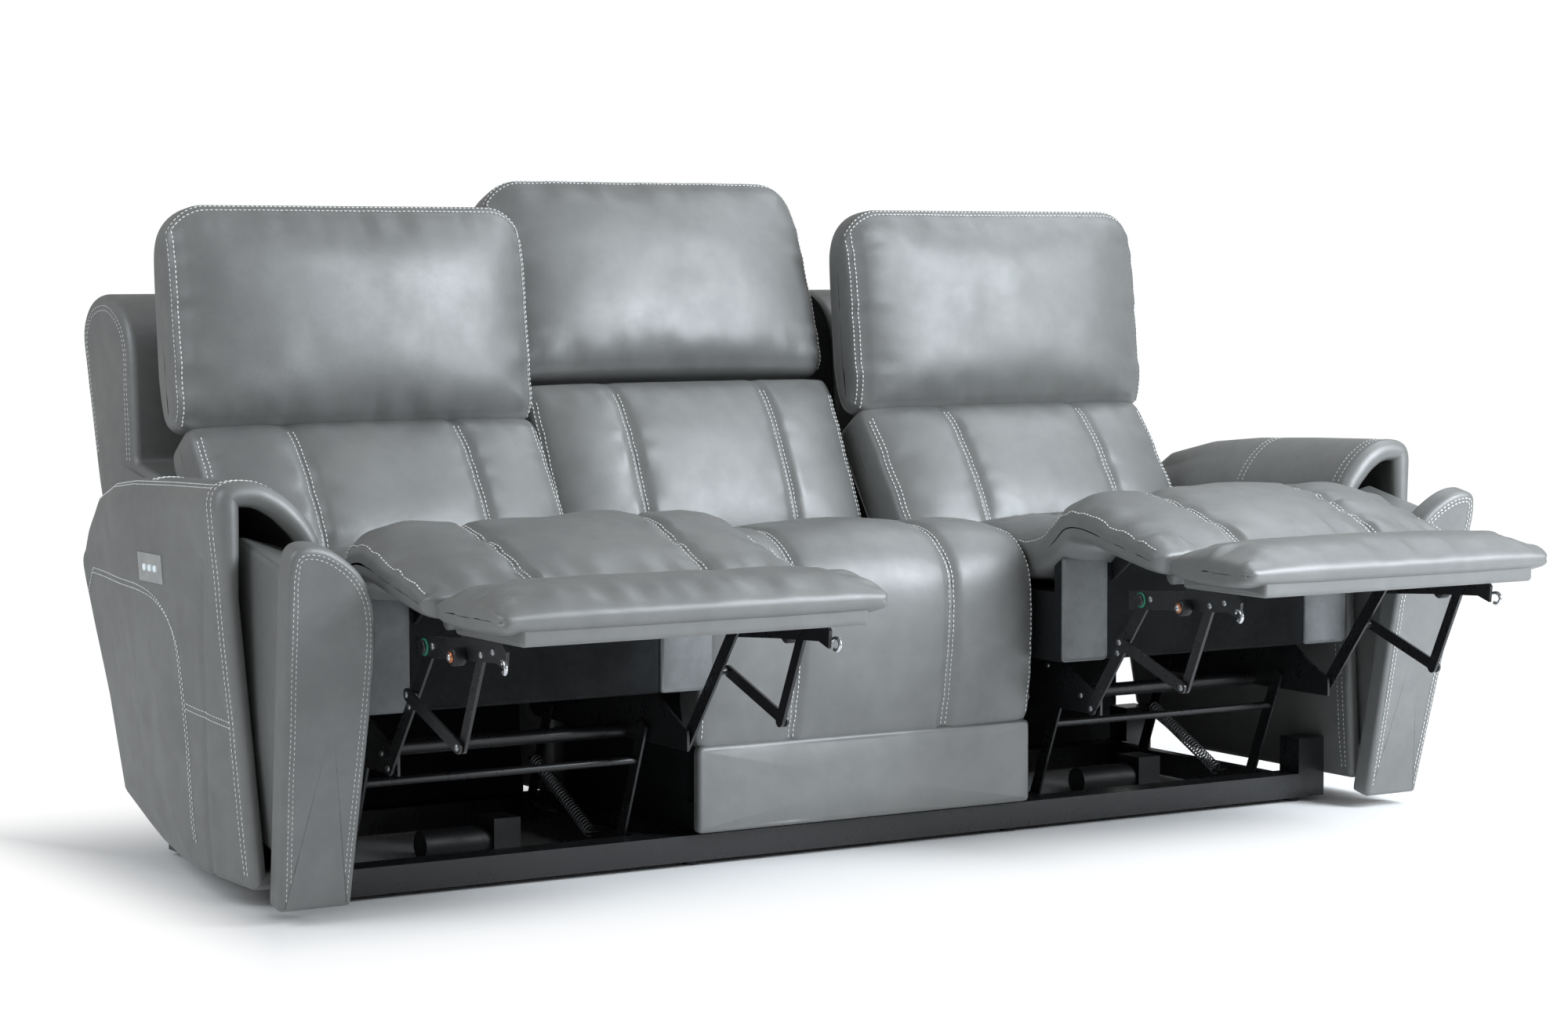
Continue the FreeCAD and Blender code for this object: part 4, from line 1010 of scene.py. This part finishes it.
class Seats(Maker):
    """The middle seat, both chaises with their second panels, and the seat boxes' covers."""

    CHAISE = [(-229, 484), (-120, 508), (-25, 527), (28, 523), (74, 495), (130, 479), (250, 478), (421, 474)]
    MIDDLE = [(106, 172), (95, 270), (93, 370), (104, 432), (148, 473), (214, 483), (330, 470), (520, 456)]

    def build(self) -> None:
        """Makes every seat."""
        self.middle()
        for side in Side:
            self.chaise(side)
            self.second_panel(side)
            self.covers(side)
            self.lining(side)

    def middle(self) -> None:
        """The fixed seat and the skirt under it."""
        seat = Pillow(0.0, 0.3075, Spine(self.MIDDLE),
                      steady((0, 40), (0.1, 66), (0.36, 68), (0.55, 90), (1, 92)), crown=0.014, flat=6,
                      end=18, edge=9, corner_low=0.03, corner_high=0.012, seams=CHANNELS, seam_depth=0.005,
                      slack=0.0018, gather=0.0022, seed=71,
                      dips=((0.0, 0.5, 0.2, 0.16, 0.006), (0.0, 0.0, 0.3, 0.03, 0.004)))
        self.shop.skin("seat_middle", seat, "base", "middle_seat_cushion")
        self.shop.stitches("seat_stitches_middle", seat, seat_rows(seat, 0.008), "base")
        skirt = Slab(oblong(-306, 306, 52, 184, 8, 8, 10, 10), (0, 112), (101, 121), plane=Plane.FACE,
                     roll=0.007, puff=(0.004, 0.0), slack=0.0012, seed=72)
        self.shop.skin("skirt", skirt, "base", "middle_skirt", fill=0.9)

    def chaise(self, side: Side) -> None:
        """Seat cushion and footrest pad in one cover that spans the footrest's hinge."""
        word, x = side.word, side.value * PITCH
        bend = Bend(f"carriage_{word}", f"footrest_{word}", (x, 0.062 + FRONT, 0.5), (x, -0.03 + FRONT, 0.5))
        pad = Pillow(x, HALF + 0.002, Spine(self.CHAISE),
                     steady((0, 62), (0.3, 62), (0.44, 68), (0.52, 82), (1, 82)), crown=0.018, flat=5, end=4.6,
                     edge=6.5, corner_low=0.022, corner_high=0.012, seams=CHANNELS, seam_depth=0.005,
                     slack=0.0040, gather=0.0070, seed=81 + side.value,
                     dips=((-0.24, 0.24, 0.06, 0.05, 0.008), (0.24, 0.24, 0.06, 0.05, 0.008),
                           (0.0, 0.1, 0.1, 0.08, 0.004)))
        self.shop.skin(f"chaise_{word}", pad, f"carriage_{word}", f"seat_cushion_{word}",
                       f"footrest_pad_{word}", bend=bend)
        self.shop.stitches(f"chaise_stitches_{word}", pad, seat_rows(pad, 0.007), f"carriage_{word}", bend)
        line = [(x * 1000 + across, y, z) for across, y, z in
                ((-262, -206, 436), (-90, -208, 437), (90, -208, 437), (262, -206, 436))]
        roll = self.shop.tube(f"front_roll_{word}", line, 15, "grey_leather", f"footrest_{word}")

    def lining(self, side: Side) -> None:
        """Black cloth that closes the back under the recliner; its black also paints the shade in the hollow
        under the seat box.
        """
        x = side.value * PITCH * 1000
        # Black sheet: a dust cloth, and painted shade for the dark hollow under the seat box
        cloth = Slab(oblong(x - 305, x + 318, 24, 288, 6), (x, 150), (697, 700), plane=Plane.FACE, roll=0.0012,
                     puff=(0.004, 0.0), slack=0.004, seed=98 + side.value)
        self.shop.skin(f"lining_{side.word}", cloth, "base", finish="black_cloth", fill=None)

    def second_panel(self, side: Side) -> None:
        """The footrest's far panel: a pillow with pointed ends over a plain band."""
        word, x = side.word, side.value * PITCH
        body = f"extension_{word}"
        pad = Pillow(x, 0.300, Spine.straight((-438, 425), 0, 203, 54), steady((0, 54), (1, 52)), crown=0.016,
                     flat=8, end=6.0, edge=2.7, corner_low=0.012, corner_high=0.014, slack=0.0018,
                     gather=0.0060, seed=91 + side.value, taper=0.02)
        self.shop.skin(f"panel_pad_{word}", pad, body, f"extension_pad_{word}")
        band = Slab(oblong(-431, -236, 418, 446, 7, 7, 3, 3), (-333, 432),
                    (x * 1000 - 266, x * 1000 + 266), roll=0.006, puff=(0.002, 0.002), seed=92)
        self.shop.skin(f"panel_band_{word}", band, body, f"extension_board_{word}", fill=None)

    def covers(self, side: Side) -> None:
        """Black cloth and leather bands on the front of the seat box."""
        word, x = side.word, side.value * PITCH * 1000
        body = f"carriage_{word}"
        cloth = Slab(oblong(x - 204, x + 204, 282, 440, 4), (x, 360), (37, 40.2), plane=Plane.FACE,
                     roll=0.0014, puff=(0.001, 0.0), slack=0.0006, seed=95)
        self.shop.skin(f"box_cloth_{word}", cloth, body, finish="black_cloth", fill=None)
        for way in (-1, 1):
            inner, outer = sorted((x + way * 203, x + way * 291))
            band = Slab(oblong(inner, outer, 280, 446, 6, 10, 10, 6), ((inner + outer) / 2, 360), (33, 40.2),
                        plane=Plane.FACE, roll=0.003, puff=(0.003, 0.0), slack=0.002, seed=96 + way)
            self.shop.skin(f"box_band_{word}_{'in' if way * side.value < 0 else 'out'}", band, body,
                           finish="edge_leather", fill=0.7)


class Arms(Maker):
    """Both arms and their tilting fronts."""

    FRONT_OUTLINE = [(924, 25, 6), (917, 420, 100), (938, 500, 80), (1000, 548, 50), (1052, 552, 26),
                     (1060, 515, 22), (1032, 25, 6)]
    CORE_OUTLINE = [(960, 90, 6), (960, 478, 10), (1036, 500, 12), (1034, 250, 60), (1021, 90, 6)]
    SIDE_PANEL = [(712, 446), (600, 444), (470, 442), (400, 440), (350, 432), (312, 415), (284, 390),
                  (267, 355), (262, 290), (258, 200), (254, 130), (252, 85)]
    PIVOT = (0.026, 0.038)  # y and z of the pin that an arm front tilts on

    def build(self) -> None:
        """Makes both arms."""
        for side in Side:
            self.body(side)
            self.front(side)

    def body(self, side: Side) -> None:
        """One arm, with the rows round its lip, on its side, along its top and across it."""
        arm = ArmBody(side.value)
        self.shop.skin(f"arm_{side.word}", arm, "base", f"arm_shell_{side.word}", fill=0.9)
        t = arm.rounds(900)
        rows = []
        for s in (0.694, 0.682):
            keep = t[arm.points(np.full_like(t, s), t)[:, 2] > 0.06]
            rows.append((np.full(len(keep), s), keep))
        rows += self.side_rows(arm)
        along = np.linspace(0.155, 0.68, 300)
        rows += [(along, np.full(300, edge)) for edge in (0.498, 0.503)]
        over = np.linspace(0.22, 0.495, 120)
        rows += [(np.full(120, cross), over) for cross in (0.464, 0.475)]
        self.shop.stitches(f"arm_stitches_{side.word}", arm, rows, "base")

    def front(self, side: Side) -> None:
        """One arm front: its padded face, the block behind it and its rows of stitches."""
        tray = f"arm_tray_{side.word}"
        stance = dict(plane=Plane.FACE, lean=LEAN, tilt=TILT, pivot=self.PIVOT, mirror=side.value)
        front = Slab(rounded(self.FRONT_OUTLINE, 8), (976, 300), (-3, 37.7), roll=0.009, puff=(0.0004, 0.0),
                     slack=0.0012, seed=101 + side.value, **stance)
        self.shop.skin(f"arm_front_pad_{side.word}", front, tray, f"arm_front_{side.word}", fill=0.9)
        core = Slab(rounded(self.CORE_OUTLINE), (995, 280), (28, 232), roll=0.006, puff=(0.0, 0.0), seed=105,
                    **stance)
        self.shop.skin(f"arm_front_core_{side.word}", core, tray, fill=0.9)
        t = front.rounds(800)
        rows = [front.inset(t, distance, 0.04) for distance in (0.0005, 0.0065)]
        self.shop.stitches(f"arm_front_stitches_{side.word}", front, rows, tray)

    def side_rows(self, arm: ArmBody) -> Rows:
        """The panel seam on the arm's flared side, and the cross seam below the control plate."""
        line = smooth_line(self.SIDE_PANEL, 110)[1] / 1000
        y = np.linspace(0.256, 0.09, 40)
        cross = np.stack([y, 0.272 + 0.06 * (y - 0.09)], axis=1)
        rows = []
        for places, along in ((line, 1), (cross, 0)):
            for shift in (-0.004, 0.004):
                spots = np.array([arm.spot(y + shift * along, z + shift) for y, z in places])
                rows.append((spots[:, 0], spots[:, 1]))
        return rows


class Mechanism(Maker):
    """Finishes of the steelwork, and its rivets, washers, bumpers and hooks."""

    RIVET = [(-1, 0.2), (-1, 5.2), (0.3, 5.2), (1.5, 4.8), (2.4, 3.5), (2.8, 1.7), (2.9, 0.2)]
    WASHER = [(-0.5, 0.3), (-0.5, 12), (1.2, 12.4), (2.6, 12), (3.0, 8), (3.1, 0.3)]
    BUMPER = [(-9, 0.3), (-9, 11), (-7, 12.5), (7, 12.5), (9, 11), (9.4, 0.3)]
    CAP = [(-1, 0.3), (-1, 9.5), (1, 10), (3, 9.6), (4, 7.5), (4, 0.3)]
    # Name, spots (out from the recliner's centre, y, z), profile and its scale, finish, body
    TURNED = (
        ("rivets_bracket", ((252, -285, 395), (252, -140, 393), (252, -320, 402)), RIVET, (1, 1), "zinc_wire",
         "extension"),
        ("washers", ((252, -117, 390),), WASHER, (1, 1), "green_nylon", "extension"),
        ("caps", ((255, -117, 390),), CAP, (0.9, 0.98), "black_steel", "extension"),
        ("bumpers", ((261, -233, 388),), BUMPER, (1, 1), "dark_plastic", "extension"),
        ("bumper_rims", ((270, -233, 388),), CAP, (1, 0.8), "copper_rim", "extension"),
        ("bumper_pins", ((273, -233, 388),), RIVET, (1, 1), "bright_chrome", "extension"),
        ("rivets_stay", ((259, -225, 265), (259, -70, 320)), RIVET, (1, 1), "zinc_wire", "stay_link"),
        ("rivets_long", ((243, 25, 205), (243, -45, 300)), RIVET, (1, 1), "zinc_wire", "long_link"),
        ("rivets_side", ((236, 60, 222), (236, 150, 262), (236, 300, 262), (236, 420, 262), (236, 205, 205)),
         RIVET, (1, 1), "zinc_wire", "carriage"),
    )
    HOOK = ((254, -350, 390), (257, -356, 394), (258, -365, 393), (258, -369, 385), (257, -364, 378),
            (256, -357, 379))
    STEEL = ("carriage_plates", "swing_front_links", "swing_rear_links", "back_hinges", "head_bracket",
             "ottoman_brackets", "long_links", "stay_links")

    def build(self) -> None:
        """Dresses the frame's nodes and adds the small parts."""
        dress = self.shop.dress
        dress("black_steel", "base_front_rail", "base_frame", "arm_hinge_pins")
        dress("dark_plastic", "base_feet", "motors")
        dress("black_cloth", "middle_seat_box")
        dress("plate_metal", "control_plates")
        for side in Side:
            word = side.word
            dress("lit_key", *(f"button_{word}_{label}" for label in ("open", "close", "headrest")))
            dress("black_steel", *(f"{name}_{word}" for name in self.STEEL))
            dress("zinc_wire", f"spring_{word}")
            dress("black_cloth", f"seat_box_{word}", f"footrest_board_{word}")
            dress("edge_leather", f"arm_bin_{word}")
            self.small_parts(word, side.value * PITCH * 1000)

    def small_parts(self, word: str, x: float) -> None:
        """Rivets, green washers, caps, bumpers and chrome hooks of one recliner."""
        for name, spots, profile, (long, wide), finish, body in self.TURNED:
            places = [(x + way * out, y, z, way) for out, y, z in spots for way in (-1, 1)]
            shape = [(out * long, radius * wide) for out, radius in profile]
            self.shop.turned(f"{name}_{word}", places, shape, finish, f"{body}_{word}")
        for way in (-1, 1):
            hook = [(x + way * out, y, z) for out, y, z in self.HOOK]
            self.shop.tube(f"hook_{word}_{'in' if way * x < 0 else 'out'}", hook, 2.8, "bright_chrome",
                           f"extension_{word}")


class Stage:
    """Floor, lights and the camera at the photograph's place."""

    EYE = (-2.91899, -4.37724 + FRONT, 0.91084)
    YAW, PITCH_DOWN, ROLL = 31.685, 4.1446, -0.0863
    LENS, SENSOR = 79.73, 36.0
    # Name, place, aim, size in metres, watts
    LAMPS = (
        ("key", (1.75, -2.55, 2.0), (0.1, 0.2, 0.72), (1.15, 2.1), 150),
        ("top", (2.0, 0.2, 2.9), (0.7, 0.1, 0.4), (1.8, 1.8), 26),
        ("left", (-3.6, -0.2, 2.4), (-0.7, 0.1, 0.5), (1.8, 2.0), 44),
    )
    LAMP_COLOUR = (0.87, 0.94, 1.0)
    FLOOR, FLOOR_GREY = 14.0, 0.93
    SHADOW_HALF, SHADOW_MIDDLE = (1.0, 0.30), 0.10  # where the floor shows its shadow before it fades

    def build(self) -> None:
        """Makes the whole stage."""
        scene = bpy.context.scene
        scene.view_settings.view_transform = "Standard"
        self.camera(scene)
        self.floor()
        self.world(scene)
        for lamp in self.LAMPS:
            self.lamp(*lamp)

    def camera(self, scene: bpy.types.Scene) -> None:
        """Camera from its fitted place, turn and lens."""
        data = bpy.data.cameras.new("photo_camera")
        data.lens, data.sensor_width, data.sensor_fit = self.LENS, self.SENSOR, "HORIZONTAL"
        data.clip_end = 60
        scene.camera = link("photo_camera", data)
        yaw, down, roll = (math.radians(v) for v in (self.YAW, self.PITCH_DOWN, self.ROLL))
        ahead = Vector((math.sin(yaw) * math.cos(down), math.cos(yaw) * math.cos(down), -math.sin(down)))
        right = Vector((math.cos(yaw), -math.sin(yaw), 0))
        up = right.cross(ahead)
        turned_right = right * math.cos(roll) + up * math.sin(roll)
        turned_up = up * math.cos(roll) - right * math.sin(roll)
        turn = Matrix((turned_right, turned_up, -ahead)).transposed()
        scene.camera.matrix_world = Matrix.Translation(self.EYE) @ turn.to_4x4()

    def floor(self) -> None:
        """A pale floor that fades to the white of the world."""
        size = self.FLOOR
        mesh = bpy.data.meshes.new("floor")
        mesh.from_pydata([(-size, -size, 0), (size, -size, 0), (size, size, 0), (-size, size, 0)], [],
                         [(0, 1, 2, 3)])
        material = bpy.data.materials.new("floor_white")
        tree = fresh(material)
        path = node(tree, "ShaderNodeLightPath", {}, {})
        place = node(tree, "ShaderNodeTexCoord", {}, {})[3]
        x, y, _ = node(tree, "ShaderNodeSeparateXYZ", {}, {0: place})
        wide, deep = (node(tree, "ShaderNodeMath", {"operation": "ABSOLUTE"}, {0: value})[0] - half
                      for value, half in zip((x, y - self.SHADOW_MIDDLE), self.SHADOW_HALF))
        apart = node(tree, "ShaderNodeMath", {"operation": "MAXIMUM"}, {0: wide * 2.4, 1: deep})[0]
        far = apart.ramp(-0.05, 0.52)
        grey = (self.FLOOR_GREY,) * 3
        diffuse = node(tree, "ShaderNodeBsdfDiffuse", {}, {"Color": (*grey, 1)})[0]
        white = node(tree, "ShaderNodeEmission", {}, {"Color": (1, 1, 1, 1), "Strength": 1.02})[0]
        both = node(tree, "ShaderNodeMixShader", {}, {0: far * path[0], 1: diffuse, 2: white})[0]
        node(tree, "ShaderNodeOutputMaterial", {}, {"Surface": both})
        mesh.materials.append(material)
        made = link("floor", mesh)

    def world(self, scene: bpy.types.Scene) -> None:
        """White to the camera, a plain soft light to everything else."""
        world = bpy.data.worlds.new("studio")
        scene.world = world
        tree = fresh(world)
        path = node(tree, "ShaderNodeLightPath", {}, {})
        strength = path[0] * 0.64 + 0.38
        back = node(tree, "ShaderNodeBackground", {}, {"Color": (1.0, 1.0, 1.0, 1), "Strength": strength})[0]
        node(tree, "ShaderNodeOutputWorld", {}, {"Surface": back})

    def lamp(self, name: str, place: tuple[float, float, float], aim: tuple[float, float, float],
             size: tuple[float, float], power: float) -> None:
        """A rectangular soft light aimed at a point."""
        data = bpy.data.lights.new(name, "AREA")
        data.shape, data.size, data.size_y, data.energy = "RECTANGLE", size[0], size[1], power
        data.color = self.LAMP_COLOUR
        made = link(name, data)
        made.rotation_euler = (Vector(aim) - Vector(place)).to_track_quat("-Z", "Y").to_euler()
        made.location = place


def main() -> None:
    """Builds the sofa's pieces and the stage in order."""
    logging.basicConfig(level=logging.WARNING)
    shop = Workshop(Finishes())
    for maker in (Backs, Seats, Arms, Mechanism):
        maker(shop).build()
    Stage().build()


if __name__ == "__main__":
    main()
